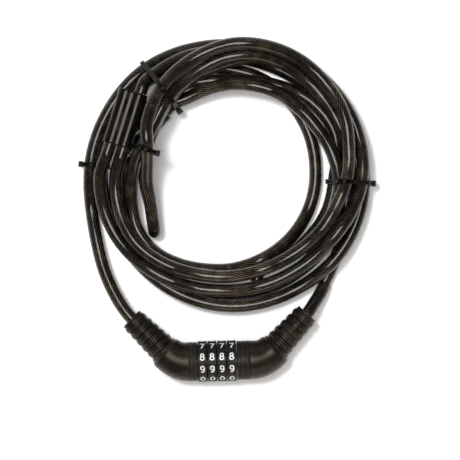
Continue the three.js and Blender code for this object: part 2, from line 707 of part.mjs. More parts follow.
// Lay the runs: each rests on the floor or on the runs below it, and arches over them.
function layCoil() {
  const rings = {};
  const places = {};
  for (const name of Object.keys(runs)) {
    rings[name] = ringsOf(name);
    places[name] = placesOf(rings[name], runs[name]);
  }
  const blocks = {};
  for (const name of Object.keys(sleeves)) blocks[name] = sleevePlaces(name);
  const slices = Array.from({ length: Math.round(360 / bearingStep) }, () => []);
  const turned = foldPlaces();
  for (const place of [...Object.values(places), ...Object.values(blocks), turned].flat()) {
    slices[sliceOf(place.bearing)].push(place);
  }
  for (const slice of slices) slice.sort((a, b) => a.rank - b.rank);
  const lowest = (place) => (
    place.half + floorHeight - cableRadius + (tieRound(place, tieReach) ? tieLift : 0));
  const joined = (place) => place.a?.sleeve ?? place.b?.sleeve;
  for (const slice of slices) {
    slice.forEach((place, n) => {
      place.floor = lowest(place);
      place.under = slice.slice(0, n).filter((below) => {
        if (joined(place) === below.owner || joined(below) === place.owner) return false;
        return below.rank < place.rank;
      }).map((below) => {
        const own = below.owner === place.owner ? ownClearance : cableClearance;
        const strap = tieRound(below, strapReach) === tieRound(place, strapReach) ? 0 : tieLift + strapSlack;
        const need = below.half + place.half + own;
        const apart = Math.abs(below.radius - place.radius);
        if (apart >= need) return null;
        return { below, lift: Math.sqrt(need * need - apart * apart) + strap };
      }).filter((pair) => pair);
    });
  }
  for (let round = 0; round < settleRounds; round++) {
    for (const slice of slices) {
      for (const place of slice) {
        place.rest = place.floor;
        for (const { below, lift } of place.under) {
          place.rest = Math.max(place.rest, below.height + lift);
        }
      }
    }
    for (const found of Object.values(blocks)) {
      const height = Math.max(...found.map((place) => place.rest));
      for (const place of found) place.height = height;
    }
    for (const run of Object.values(places)) {
      run.forEach((place, n) => {
        if (place.a.sleeve && place.b.sleeve) {
          place.height = blocks[place.a.sleeve][0].height;
          return;
        }
        place.height = place.rest;
        if (n === 0 || n + 1 === run.length) return;
        const step = place.radius * THREE.MathUtils.degToRad(bearingStep);
        const free = (run[n - 1].height + run[n + 1].height) / 2 - (step * step) / (2 * arch);
        place.height = Math.max(place.rest, free);
      });
    }
    const [over, under, inner, outer] = ['over_leg', 'under_leg', 'inner_leg', 'outer_leg']
      .map((name) => places[name][places[name].length - 1]);
    over.height = Math.max(over.height, under.height + foldRise);
    outer.height = Math.max(inner.height, outer.height);
    inner.height = outer.height;
    for (const place of turned) place.height = inner.height;
  }
  const heights = {};
  for (const name of Object.keys(sleeves)) heights[name] = blocks[name][0].height;
  for (const name of Object.keys(runs)) {
    for (const ring of rings[name]) {
      const near = places[name].reduce((best, place) => (
        Math.abs(place.bearing - ring.bearing) < Math.abs(best.bearing - ring.bearing) ? place : best));
      ring.height = ring.sleeve ? heights[ring.sleeve] : near.height;
    }
  }
  return { laid: rings, heights, slices };
}

const { laid, heights, slices } = layCoil();

function runPoints(name) {
  return laid[name].map(({ bearing, radius, height }) => onCoil(bearing, radius, height));
}

// The turned-back end of an eye, between the ends of its two legs.
function foldPoints(first, second) {
  const a = first[first.length - 1];
  const b = second[second.length - 1];
  const middle = a.clone().add(b).multiplyScalar(0.5);
  const radial = b.clone().sub(a);
  const half = radial.length() / 2;
  radial.normalize();
  const along = a.clone().sub(first[first.length - 2]).normalize();
  along.addScaledVector(radial, -along.dot(radial)).normalize();
  const points = [];
  const count = 7;
  for (let n = 1; n < count; n++) {
    const turn = (n / count) * Math.PI;
    points.push(middle.clone()
      .addScaledVector(radial, -half * Math.cos(turn))
      .addScaledVector(along, half * Math.sin(turn) * 1.15));
  }
  return points;
}

function eyePoints(first, second) {
  const out = runPoints(first);
  const back = runPoints(second);
  return [...out, ...foldPoints(out, back), ...back.reverse()];
}

const routes = {
  right_coil: runPoints('right_coil'),
  left_coil: runPoints('left_coil'),
  right_eye: eyePoints('over_leg', 'under_leg'),
  left_eye: eyePoints('inner_leg', 'outer_leg'),
};
for (const [name, points] of Object.entries(routes)) {
  place(name, tube(points, loopSides, cableRadius), vinyl);
}

// The least gap between parts of a cable that aren't next to each other on it.
function leastGap(points) {
  const fine = [];
  for (let n = 0; n + 1 < points.length; n++) {
    for (let k = 0; k < 8; k++) fine.push(points[n].clone().lerp(points[n + 1], k / 8));
  }
  const along = [0];
  for (let n = 1; n < fine.length; n++) along.push(along[n - 1] + fine[n].distanceTo(fine[n - 1]));
  let least = Infinity;
  for (let n = 0; n < fine.length; n++) {
    for (let k = n + 1; k < fine.length; k++) {
      if (along[k] - along[n] < cableDiameter * 2.4) continue;
      least = Math.min(least, fine[n].distanceTo(fine[k]) - cableDiameter);
    }
  }
  return least;
}
for (const [name, points] of Object.entries(routes)) {
  console.log(`${name}: least gap to itself ${leastGap(points).toFixed(2)} mm`);
}

// ---------------------------------------------------------------- sleeves
function stadium(halfSpacing, radius, sides) {
  const shape = new THREE.Shape();
  shape.moveTo(halfSpacing, -radius);
  shape.absarc(halfSpacing, 0, radius, -Math.PI / 2, Math.PI / 2, false);
  shape.absarc(-halfSpacing, 0, radius, Math.PI / 2, (3 * Math.PI) / 2, false);
  return new THREE.Shape(shape.getPoints(sides));
}

function makeSleeve(name) {
  const { middle, along, across } = sleeveFrame(sleeves[name]);
  const shape = stadium(sleeveBarrels / 2, sleeveHalf, 10);
  shape.holes.push(new THREE.Path(stadium(sleeveBarrels / 2, boreRadius, 8).getPoints()));
  const geometry = new THREE.ExtrudeGeometry(shape, { depth: sleeveLength, bevelEnabled: false });
  geometry.translate(0, 0, -sleeveLength / 2);
  const up = new THREE.Vector3(0, 0, 1);
  const basis = new THREE.Matrix4().makeBasis(across, up, across.clone().cross(up));
  basis.setPosition(middle.x, middle.y, heights[name]);
  geometry.applyMatrix4(basis);
  return geometry;
}
for (const name of Object.keys(sleeves)) place(name, makeSleeve(name), sleeveBlack);

// ---------------------------------------------------------------- ties
// The shortest closed line round a set of points, as points in order.
function hull(points) {
  const sorted = [...points].sort((a, b) => a.x - b.x || a.y - b.y);
  const side = (list) => {
    const chain = [];
    for (const point of list) {
      while (chain.length > 1) {
        const [p, q] = chain.slice(-2);
        const turn = (q.x - p.x) * (point.y - p.y) - (q.y - p.y) * (point.x - p.x);
        if (turn > 1e-9) break;
        chain.pop();
      }
      chain.push(point);
    }
    chain.pop();
    return chain;
  };
  return [...side(sorted), ...side(sorted.reverse())];
}

function bandOutline(turns, margin) {
  const points = [];
  const sides = 16;
  for (const turn of turns) {
    for (let k = 0; k < sides; k++) {
      const angle = (k / sides) * 2 * Math.PI;
      const reach = turn.half + margin;
      points.push(new THREE.Vector2(
        turn.radius + reach * Math.cos(angle), turn.height + reach * Math.sin(angle)));
    }
  }
  return hull(points);
}

function makeTie({ bearing, inner, outer, top, side }) {
  const near = [-1, 0, 1].flatMap((n) => slices[sliceOf(bearing + n * bearingStep)]);
  const turns = near.filter(
    ({ radius, rank }) => radius > inner && radius < outer && rank < top);
  const shape = new THREE.Shape(bandOutline(turns, tieClearance + tieThickness));
  shape.holes.push(new THREE.Path(bandOutline(turns, tieClearance)));
  const band = new THREE.ExtrudeGeometry(shape, { depth: tieWidth, bevelEnabled: false });
  band.translate(0, 0, -tieWidth / 2);
  const reach = ({ radius, half }) => side * radius + half;
  const edge = Math.max(...turns.map(reach));
  const level = turns.find((turn) => reach(turn) === edge).height;
  const headStart = edge + tieClearance + tieThickness * 0.4;
  const headMiddle = side * (headStart + tieHead * 0.4);
  const head = new THREE.BoxGeometry(tieHead * 0.8, tieHead, tieHead);
  head.translate(headMiddle, level, 0);
  const tail = new THREE.BoxGeometry(tieThickness, tieHead + 2 * tieTail, tieWidth * 0.7);
  tail.translate(headMiddle, level, 0);
  const whole = join(toSolid(band), toSolid(head), toSolid(tail));
  const turn = THREE.MathUtils.degToRad(bearing + coilTwist);
  const radial = new THREE.Vector3(Math.cos(turn), Math.sin(turn), 0);
  const up = new THREE.Vector3(0, 0, 1);
  const geometry = toGeometry(whole);
  const basis = new THREE.Matrix4().makeBasis(radial, up, radial.clone().cross(up));
  basis.setPosition(coilX, coilY, 0);
  geometry.applyMatrix4(basis);
  return geometry;
}
for (const [name, tie] of Object.entries(ties)) place(name, makeTie(tie), tieNylon);

// ---------------------------------------------------------------- leads
// Route points between a boot's mouth and the coil, measured from the dials' middle.
// The third number is the share of the drop from the boot to the coil.
const leadRoutes = {
  left_lead: [[-68.5, 42.3, 0.2], [-74.6, 54.0, 0.4], [-80.2, 68.0, 0.6], [-83.3, 80.9, 0.8],
    [-85.9, 95.2, 0.9]],
  right_lead: [[70.4, 38.5, 0.25], [75.6, 45.8, 0.65], [79.9, 54.3, 0.95]],
};

function leadPoints(name) {
  const side = name === 'right_lead' ? 1 : -1;
  const { end, direction, start } = bootAxis(side);
  const [f0, f1] = ferruleSpan(side);
  const inside = side > 0 ? f0 : f1;
  const outside = side > 0 ? f1 : f0;
  const first = laid[side > 0 ? 'right_coil' : 'left_coil'];
  const coilEnd = onCoil(first[0].bearing, first[0].radius, first[0].height);
  const coilNext = onCoil(first[1].bearing, first[1].radius, first[1].height);
  const away = coilEnd.clone().sub(coilNext).normalize();
  const drop = axisHeight - coilEnd.z;
  const between = leadRoutes[name].map(([x, y, share]) => (
    new THREE.Vector3(x, y, axisHeight - drop * share)));
  return [
    new THREE.Vector3(inside + side * 0.1, 0, axisHeight),
    new THREE.Vector3(outside, 0, axisHeight),
    start.clone().addScaledVector(direction, 9).add(new THREE.Vector3(0, -0.8, 0)),
    start.clone().addScaledVector(direction, 17),
    end.clone().addScaledVector(direction, -10),
    end.clone().addScaledVector(direction, 2),
    ...between,
    coilEnd.clone().addScaledVector(away, cableDiameter * 0.7),
    coilEnd.clone().addScaledVector(away, runGap),
  ];
}

for (const name of Object.keys(leadRoutes)) {
  const curve = new THREE.CatmullRomCurve3(leadPoints(name), false, 'centripetal');
  place(name, tube(curve.getSpacedPoints(leadSteps), leadSides, cableRadius), vinyl);
}

// ---------------------------------------------------------------- origin
// Under the middle of the lock head, at the floor.
const cordNames = /coil|eye|sleeve|tie|lead/;
const footprint = new THREE.Box3();
for (const mesh of Object.values(meshes)) {
  if (!cordNames.test(mesh.name)) footprint.expandByObject(mesh);
}
const centre = footprint.getCenter(new THREE.Vector3());
group.position.set(-centre.x, -centre.y, -footprint.min.z);
group.updateMatrixWorld(true);

export default group;
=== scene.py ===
"""A four-dial combination cable lock, seen from above on a pale floor.

Sizes are written in millimetres, measured from the middle of the dials, and
turned into metres in the frame of the CAD model by place().
"""
from math import atan2, ceil, cos, degrees, hypot, pi, radians, sin, sqrt, tan
from types import SimpleNamespace as Facts

import bmesh
import bpy
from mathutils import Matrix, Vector


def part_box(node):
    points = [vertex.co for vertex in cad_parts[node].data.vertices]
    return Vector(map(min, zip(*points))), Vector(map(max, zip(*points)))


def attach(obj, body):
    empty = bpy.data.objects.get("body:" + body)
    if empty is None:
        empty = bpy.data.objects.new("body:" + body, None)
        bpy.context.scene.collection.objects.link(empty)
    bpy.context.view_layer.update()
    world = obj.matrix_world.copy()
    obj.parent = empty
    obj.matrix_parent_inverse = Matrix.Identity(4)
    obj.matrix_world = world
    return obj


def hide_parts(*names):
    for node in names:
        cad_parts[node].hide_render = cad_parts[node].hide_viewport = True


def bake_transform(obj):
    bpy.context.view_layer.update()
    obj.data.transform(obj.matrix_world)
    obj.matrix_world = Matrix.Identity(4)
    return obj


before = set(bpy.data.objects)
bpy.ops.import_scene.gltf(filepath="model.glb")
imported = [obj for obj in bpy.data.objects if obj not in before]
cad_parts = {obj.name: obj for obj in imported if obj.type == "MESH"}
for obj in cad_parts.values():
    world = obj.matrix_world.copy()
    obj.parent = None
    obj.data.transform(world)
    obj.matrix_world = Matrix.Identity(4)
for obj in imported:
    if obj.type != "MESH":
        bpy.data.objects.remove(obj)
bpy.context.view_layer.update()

MM = 0.001

# ---- sizes
RUN_GAP = 0.3
DIAL_COUNT = 4
DIAL_WIDTH = 6.6
DIAL_GAP = 0.4
DIAL_PITCH = DIAL_WIDTH + DIAL_GAP
DIAL_RADIUS = 14.6
DIAL_BORE = 9.0
DIAL_PHASE = 16.4              # degrees from straight up to the middle of a land
DIAL_GROOVE = 0.7
AXIS = DIAL_RADIUS + 0.3       # height of the lock's axis
HEAD_END = DIAL_COUNT * DIAL_PITCH / 2 + 0.2
HOUSING_RADIUS = 14.0
CORE_RADIUS = 11.0
CABLE_RADIUS = 4.65
BORE_RADIUS = CABLE_RADIUS + RUN_GAP
SIDES = {
    "left": Facts(side=-1, body="plug", band=5.7, core=6.6, elbow=29.4, boot=(31.5, 32.1),
                  recess=1.9, bore=3.5, seat=3.6, lines=(2.2,)),
    "right": Facts(side=1, body="lock", band=9.2, core=7.2, elbow=34.1, boot=(31.6, 32.3),
                   recess=1.3, bore=6.5, seat=4.6, lines=(2.2, 5.6)),
}
COIL_X, COIL_Y = 12.9, 132.0
TWIST = -1.6                   # degrees
CABLE_SIDES = 24
LEAD_SPACING, EYE_SPACING = 4.0, 2.0   # of the rings along the cables
LEAST_APART = 1.5
SPLINE_STEPS = 24              # places between two points of a route
STRANDS = 16                   # seen round the steel rope
STRAND_LAY = 0.057             # metres of cable to one turn of them

low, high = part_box("dial_1")
SHIFT = Vector(((low[0] + high[0]) / 2 / MM + 1.5 * DIAL_PITCH, (low[1] + high[1]) / 2 / MM, 0.0))


def place(x, y, z=0.0):
    """A place measured from the dials, in metres in the frame."""
    return (Vector((x, y, z)) + SHIFT) * MM


def to_frame(points):
    return [place(*point) for point in points]


def link(name, data):
    made = bpy.data.objects.new(name, data)
    bpy.context.collection.objects.link(made)
    return made


# ---- camera
camera_data = bpy.data.cameras.new("camera")
camera = link("camera", camera_data)
bpy.context.scene.camera = camera
VIEW_WIDTH = 0.3312
VIEW_DISTANCE = 1.3
camera.location = (0.00944, 0.08224, 0.015 + VIEW_DISTANCE)
camera.rotation_euler = (0.0, 0.0, radians(TWIST))
camera_data.sensor_width = 36.0
camera_data.lens = 36.0 * VIEW_DISTANCE / VIEW_WIDTH


# ---- meshes
BOX_FACES = ((0, 1, 3, 2), (4, 6, 7, 5), (0, 4, 5, 1), (2, 3, 7, 6), (0, 2, 6, 4), (1, 5, 7, 3))


def new_mesh(name, corners, faces):
    mesh = bpy.data.meshes.new(name)
    mesh.from_pydata(corners, [], faces)
    return mesh


def make_object(name, mesh, material, smooth):
    made = link(name, mesh)
    mesh.materials.append(material)
    mesh.shade_smooth()
    if smooth:
        mesh.set_sharp_from_angle(angle=radians(smooth))
    return made


def grid_mesh(name, rows, lengths=None):
    """A mesh through rows of points, each row a closed ring. Given lengths along it, its
    ends are capped and it gets a UV of the length and the turn. Without them, its last
    row meets its first."""
    count = len(rows[0])
    faces, corners = [], []
    for n in range(len(rows) - 1 if lengths else len(rows)):
        m = (n + 1) % len(rows)
        for k in range(count):
            j = (k + 1) % count
            faces.append((n * count + k, n * count + j, m * count + j, m * count + k))
            if lengths:
                turn, next_turn = k / count, (k + 1) / count
                corners += [(lengths[n], turn), (lengths[n], next_turn),
                            (lengths[m], next_turn), (lengths[m], turn)]
    if lengths:
        end = len(rows) * count
        faces += [range(count)[::-1], range(end - count, end)]
        corners += [(lengths[0], 0.5)] * count + [(lengths[-1], 0.5)] * count
    mesh = new_mesh(name, [point for row in rows for point in row], faces)
    if lengths:
        layer = mesh.uv_layers.new(name="cable")
        for loop, corner in zip(layer.data, corners):
            loop.uv = corner
    mesh.validate()
    return mesh


def frames_along(points):
    """A side and an up direction at each point of a route, turning as little as can be."""
    made = []
    side = None
    for before, after in zip(points[:1] + points, points[1:] + points[-1:]):
        along = (after - before).normalized()
        if side is None:
            side = Vector((0, 0, 1)).cross(along).normalized()
        side = (side - along * side.dot(along)).normalized()
        made.append((side, along.cross(side)))
    return made


def circle(middle, side, up, radius, count):
    turns = [2 * pi * k / count for k in range(count)]
    return [middle + side * (radius * cos(t)) + up * (radius * sin(t)) for t in turns]


def cable(name, points, start=0.0, frames=None):
    """A round cable along points in metres, and its length."""
    lengths = [start]
    for a, b in zip(points, points[1:]):
        lengths.append(lengths[-1] + (b - a).length)
    rows = [circle(point, side, up, CABLE_RADIUS * MM, CABLE_SIDES)
            for point, (side, up) in zip(points, frames or frames_along(points))]
    made = make_object(name, grid_mesh(name, rows, lengths), vinyl, 60)
    return made, lengths[-1] - start


def fix_normals(mesh):
    work = bmesh.new()
    work.from_mesh(mesh)
    bmesh.ops.recalc_face_normals(work, faces=work.faces)
    work.to_mesh(mesh)
    work.free()


def shell(name, rows, material, smooth):
    """A closed piece through rows of points, the last of which meets the first."""
    mesh = grid_mesh(name, rows)
    fix_normals(mesh)
    return make_object(name, mesh, material, smooth)


def boxes(name, corners, material, smooth):
    """A piece made of closed boxes, each given by eight corners."""
    faces = [[n + k for k in face] for n in range(0, len(corners), 8) for face in BOX_FACES]
    mesh = new_mesh(name, corners, faces)
    fix_normals(mesh)
    return make_object(name, mesh, material, smooth)


def bevel(made, width, segments):
    cut = made.modifiers.new("edges", "BEVEL")
    cut.width = width * MM
    cut.segments = segments
    cut.limit_method = "ANGLE"
    cut.angle_limit = radians(30)


def mount(piece, body, slot, *nodes):
    """Lets a piece ride on a body, if one is given, in the place of CAD nodes."""
    if body:
        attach(piece, body)
    if nodes:
        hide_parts(*nodes)
    return piece


# ---- materials
class Nodes:
    """A short way to write the nodes of a material or the world."""

    def __init__(self, owner, shader="Principled BSDF"):
        owner.use_nodes = True
        self.owner = owner
        self.tree = owner.node_tree
        self.shader = self.tree.nodes[shader]

    def add(self, kind, inputs=None, **values):
        node = self.tree.nodes.new("ShaderNode" + kind)
        for key, value in values.items():
            setattr(node, key, value)
        for key, value in (inputs or {}).items():
            self.feed(node.inputs[key], value)
        return node

    def feed(self, socket, value):
        if isinstance(value, (int, float, tuple)):
            socket.default_value = value
        elif value:
            self.tree.links.new(value, socket)

    def math(self, operation, a, b=0.0, clamp=False):
        return self.add("Math", {0: a, 1: b}, operation=operation, use_clamp=clamp).outputs[0]

    def times(self, a, b):
        return self.math("MULTIPLY", a, b)

    def noise(self, vector, scale, detail=3.0, roughness=0.5):
        return self.add("TexNoise", {"Vector": vector, "Scale": scale, "Detail": detail,
                                     "Roughness": roughness}).outputs["Fac"]

    def range(self, value, low, high, to_low, to_high):
        return self.add("MapRange", {"Value": value, "From Min": low, "From Max": high,
                                     "To Min": to_low, "To Max": to_high}).outputs["Result"]

    def ramp(self, value, stops):
        node = self.add("ValToRGB", {"Fac": value})
        while len(node.color_ramp.elements) < len(stops):
            node.color_ramp.elements.new(0.5)
        for element, (at, colour) in zip(node.color_ramp.elements, stops):
            element.position = at
            element.color = (*colour, 1.0)
        return node.outputs["Color"]

    def grey(self, value, stops):
        return self.ramp(value, [(at, (v, v, v)) for at, v in stops])

    def mix(self, share, a, b):
        a, b = ((*c, 1.0) if isinstance(c, tuple) else c for c in (a, b))
        return self.add("Mix", {0: share, 6: a, 7: b}, data_type="RGBA").outputs[2]

    def bump(self, height, strength, distance, normal=None):
        return self.add("Bump", {"Strength": strength, "Distance": distance, "Height": height,
                                 "Normal": normal}).outputs["Normal"]

    def place(self):
        return self.add("TexCoord").outputs["Object"]

    def set(self, **values):
        for key, value in values.items():
            self.feed(self.shader.inputs[key.replace("_", " ")], value)


def material_nodes(name):
    return Nodes(bpy.data.materials.new(name))


def cable_material():
    """Smoke-coloured clear vinyl over a twisted steel rope."""
    n = material_nodes("vinyl_over_steel_rope")
    parts = n.add("SeparateXYZ", {0: n.add("UVMap", uv_map="cable").outputs["UV"]})
    u, v = parts.outputs[0], parts.outputs[1]
    where = n.place()
    wander = n.times(n.math("SUBTRACT", n.noise(where, 110.0), 0.5), 2.2)
    lay = n.math("ADD", n.times(u, 2 * pi * STRANDS / STRAND_LAY), n.times(v, -2 * pi * STRANDS))
    strand = n.math("SINE", n.math("ADD", lay, wander))
    strand = n.times(n.math("ADD", strand, 1.0), 0.5)
    crest = n.math("POWER", strand, 2.0)
    patch = n.noise(where, 26.0, 4.0)
    broken = n.grey(n.noise(where, 170.0), [(0.34, 0.45), (0.60, 1.0)])
    weight = n.times(n.times(crest, broken), 0.78)
    weight = n.math("ADD", weight, n.times(n.math("SUBTRACT", patch, 0.5), 1.25), clamp=True)
    colour = n.ramp(weight, [(0.0, (0.002, 0.0015, 0.0011)), (0.34, (0.009, 0.0068, 0.0045)),
                             (0.62, (0.046, 0.036, 0.0245)), (1.0, (0.250, 0.204, 0.145))])
    n.set(Base_Color=colour, Roughness=n.grey(patch, [(0.3, 0.34), (0.7, 0.46)]),
          Metallic=n.grey(weight, [(0.2, 0.05), (0.8, 0.45)]), Coat_Weight=0.85,
          Coat_Roughness=0.09, Coat_IOR=1.5, Coat_Tint=(0.88, 0.79, 0.68, 1.0),
          Specular_IOR_Level=0.16, Normal=n.bump(strand, 0.6, 0.0003),
          Coat_Normal=n.bump(n.noise(where, 140.0, 2.0), 0.08, 0.00025))
    return n.owner


def rubber_material():
    """Smoky moulded vinyl, satin, mottled a little darker and lighter."""
    n = material_nodes("moulded_cover")
    where = n.place()
    patch = n.noise(where, 90.0, 5.0, 0.6)
    broad = n.noise(where, 28.0, 2.0)
    colour = n.ramp(patch, [(0.30, (0.002, 0.0015, 0.0012)), (0.52, (0.008, 0.006, 0.0044)),
                            (0.72, (0.028, 0.0215, 0.0155))])
    colour = n.mix(n.grey(broad, [(0.42, 0.0), (0.7, 0.6)]), colour, (0.024, 0.018, 0.012))
    n.set(Base_Color=colour, Roughness=n.grey(patch, [(0.3, 0.30), (0.7, 0.42)]),
          Specular_IOR_Level=0.34, Specular_Tint=(1.0, 0.86, 0.72, 1.0),
          Sheen_Weight=0.06, Sheen_Roughness=0.35, Sheen_Tint=(0.70, 0.54, 0.38, 1.0),
          Normal=n.bump(patch, 0.16, 0.0004, n.bump(n.noise(where, 900.0, 2.0), 0.12, 0.00012)))
    return n.owner


def plastic_material(name, dark, light, roughness, scale=260.0, specular=0.28):
    """A moulded plastic: fine grain, small changes of tone and gloss."""
    n = material_nodes(name)
    where = n.place()
    patch = n.noise(where, scale, 4.0)
    colour = n.ramp(patch, [(0.3, dark), (0.7, light)])
    n.set(Base_Color=colour,
          Roughness=n.grey(patch, [(0.3, roughness - 0.05), (0.7, roughness + 0.08)]),
          Specular_IOR_Level=specular, Specular_Tint=(1.0, 0.92, 0.84, 1.0),
          Normal=n.bump(n.noise(where, scale * 5, 2.0), 0.10, 0.0001))
    return n.owner


def metal_material(name, dark, light, roughness, turned=True):
    """A turned or drawn metal with fine tool lines round it."""
    n = material_nodes(name)
    where = n.place()
    stretch = (1.0, 0.03, 0.03) if turned else (0.05, 1.0, 1.0)
    stretched = n.add("Mapping", {"Vector": where, "Scale": stretch}).outputs["Vector"]
    lines = n.noise(stretched, 2600.0, 2.0)
    patch = n.noise(where, 120.0)
    colour = n.ramp(patch, [(0.3, dark), (0.7, light)])
    n.set(Base_Color=colour, Metallic=1.0, Normal=n.bump(lines, 0.12, 0.0001),
          Roughness=n.grey(lines, [(0.3, roughness - 0.06), (0.7, roughness + 0.10)]))
    return n.owner


def digit_material():
    """White paint, a little worn and greyer in patches."""
    n = material_nodes("digit_paint")
    patch = n.noise(n.place(), 700.0)
    n.set(Base_Color=n.ramp(patch, [(0.25, (0.74, 0.74, 0.72)), (0.6, (0.92, 0.92, 0.90))]),
          Roughness=n.grey(patch, [(0.3, 0.32), (0.7, 0.45)]), Normal=n.bump(patch, 0.08, 0.00005))
    return n.owner


vinyl = cable_material()
rubber = rubber_material()
dial_plastic = plastic_material("dial_plastic", (0.006, 0.006, 0.006), (0.014, 0.013, 0.013), 0.42)
sleeve_black = plastic_material(
    "sleeve_black", (0.003, 0.0027, 0.0025), (0.007, 0.006, 0.0052), 0.17, 120.0)
tie_nylon = plastic_material(
    "tie_nylon", (0.002, 0.0017, 0.0015), (0.005, 0.0043, 0.0038), 0.34, specular=0.12)
housing_black = plastic_material(
    "housing_black", (0.008, 0.0065, 0.0055), (0.020, 0.016, 0.013), 0.48, 90.0)
steel = metal_material("turned_steel", (0.42, 0.42, 0.43), (0.60, 0.60, 0.61), 0.28)
spring_steel = metal_material("spring_steel", (0.30, 0.32, 0.34), (0.42, 0.44, 0.46), 0.24, False)
brass = metal_material("brass", (0.50, 0.36, 0.15), (0.66, 0.49, 0.22), 0.30)
digit_paint = digit_material()

# ---- the coil's stations
# Each run of cable is a list of stations: bearing in degrees, radius and rank, which
# stays the last one's where none is given. Where two runs cross, the one with the
# higher rank lies on the other.
RUNS = {
    "right_coil": [
        (315, 100.4, 1), (320, 97.6), (330, 93.2), (345, 90.0), (360, 88.2), (375, 87.1),
        (405, 86.4), (415, 86.2, 1.1), (420, 86.1, 2.2), (430, 86.0, 2.3), (445, 86.8, 2.4),
        (455, 88.9, 2.5), (465, 92.2, 3), (480, 92.0)],
    "left_coil": [
        (187.5, 102.2, 3), (170, 100.6, 2.5), (150, 99.6, 2), (130, 99.1), (115, 98.1),
        (100, 96.6), (85, 95.8), (60, 96.5), (30, 96.5), (0, 96.8, 3), (-30, 96.4),
        (-60, 94.1, 2), (-90, 93.1), (-110, 91.9), (-130, 90.8), (-145, 90.6, 1.5),
        (-165, 91.8, 1), (-180, 92.9), (-195, 94.3), (-225, 92.9), (-240, 88.6), (-255, 82.8),
        (-270, 78.5), (-285, 75.6), (-300, 72.7), (-315, 68.8), (-330, 65.9, 1.2),
        (-345, 63.5, 2), (-360, 62.1), (-390, 61.6), (-420, 62.6), (-435, 64.1), (-450, 66.5),
        (-465, 69.0), (-480, 72.7), (-495, 76.4), (-510, 76.9, 3), (-525, 73.4),
        (-540, 70.2, 3.2), (-550, 68.2, 4), (-560, 65.4, 6), (-570, 65.2, 7), (-580, 67.0),
        (-595, 72.4), (-610, 77.4), (-630, 85.5), (-650, 89.3), (-670, 88.3), (-690, 86.8),
        (-702.5, 86.5, 5), (-710, 86.3, 2.2), (-720, 86.0, 1.8), (-750, 85.0, 1.6),
        (-780, 84.6, 1.5), (-810, 84.6), (-840, 84.2), (-855, 81.0, 1.2), (-870, 79.6, 1),
        (-882.5, 79.6), (-892.5, 79.8)],
    "over_leg": [
        (177.5, 81.7, 9), (185, 82.4), (200, 83.2), (215, 82.3), (230, 78.8), (250, 73.9),
        (270, 71.4), (290, 70.1), (310, 71.6), (330, 75.5), (345, 78.5), (360, 83.5),
        (375, 87.5), (390, 92.7), (405, 95.4), (420, 96.8), (435, 96.0), (450, 93.6),
        (465, 88.4), (480, 82.6), (495, 75.6), (510, 68.0), (520, 62.0), (530, 59.4),
        (545, 59.2), (556, 59.6), (564, 61.6), (571, 64.4)],
    "under_leg": [
        (177.5, 93.2, 5), (185, 94.0), (200, 93.1), (215, 91.0), (230, 87.8), (250, 83.9),
        (270, 81.5), (290, 81.2), (310, 82.3), (330, 85.7), (345, 90.6), (360, 95.0),
        (375, 96.8), (395, 97.4), (410, 96.9), (425, 93.6), (440, 87.1), (455, 81.0),
        (470, 76.7), (485, 71.6), (500, 66.6), (510, 64.1, 4.5), (520, 62.6, 4),
        (527.5, 62.4, 3.6), (535, 62.0, 1), (545, 61.3), (556, 60.6), (564, 62.1), (571, 64.4)],
    "inner_leg": [
        (120, 64.8, 2.5), (115, 64.6), (105, 65.2), (90, 66.5), (75, 67.5), (60, 69.1),
        (45, 69.8), (30, 71.6), (15, 74.9), (0, 77.9), (-20, 81.0), (-45, 82.4), (-70, 82.8)],
    "outer_leg": [
        (122.5, 77.5, 1.5), (115, 74.9), (105, 72.0), (90, 69.8), (75, 71.3), (60, 75.0),
        (45, 79.4), (30, 81.8), (22.5, 81.7), (10, 78.5), (0, 75.8), (-20, 74.5), (-45, 71.3),
        (-70, 70.6)],
}
for stations in RUNS.values():
    for n, station in enumerate(stations):
        if len(station) < 3:
            stations[n] = (*station, stations[n - 1][2])
SLEEVES = {
    "left_sleeve": Facts(bearing=151.5, radius=72.4, lean=-12.0, rank=3),
    "right_sleeve": Facts(bearing=151.0, radius=85.6, lean=11.8, rank=8),
}
TIES = {
    "lead_tie": Facts(bearing=175.0, inner=88, outer=106, top=4, side=1),
    "bundle_tie": Facts(bearing=127.5, inner=60, outer=106, top=10, side=-1),
    "fold_tie": Facts(bearing=162.5, inner=56, outer=68, top=10, side=-1),
    "side_tie": Facts(bearing=-2.5, inner=70, outer=106, top=10, side=1),
}
# Where a run ends in a sleeve: whether at its end, which sleeve, which of the sleeve's
# ends, and which bore.
JOINS = {
    "right_coil": (True, "right_sleeve", -1, -0.5),
    "over_leg": (False, "right_sleeve", 1, -0.5),
    "under_leg": (False, "right_sleeve", 1, 0.5),
    "left_coil": (True, "left_sleeve", 1, -0.5),
    "inner_leg": (False, "left_sleeve", -1, -0.5),
    "outer_leg": (False, "left_sleeve", -1, 0.5),
}
OWNERS = {"over_leg": "right_eye", "under_leg": "right_eye",
          "inner_leg": "left_eye", "outer_leg": "left_eye"}
CABLE_CLEARANCE = 0.7
OWN_CLEARANCE = 1.05
SLEEVE_LENGTH = 40.0
SLEEVE_WALL = 1.1
SLEEVE_BARRELS = 10.0
SLEEVE_HALF = CABLE_RADIUS + SLEEVE_WALL
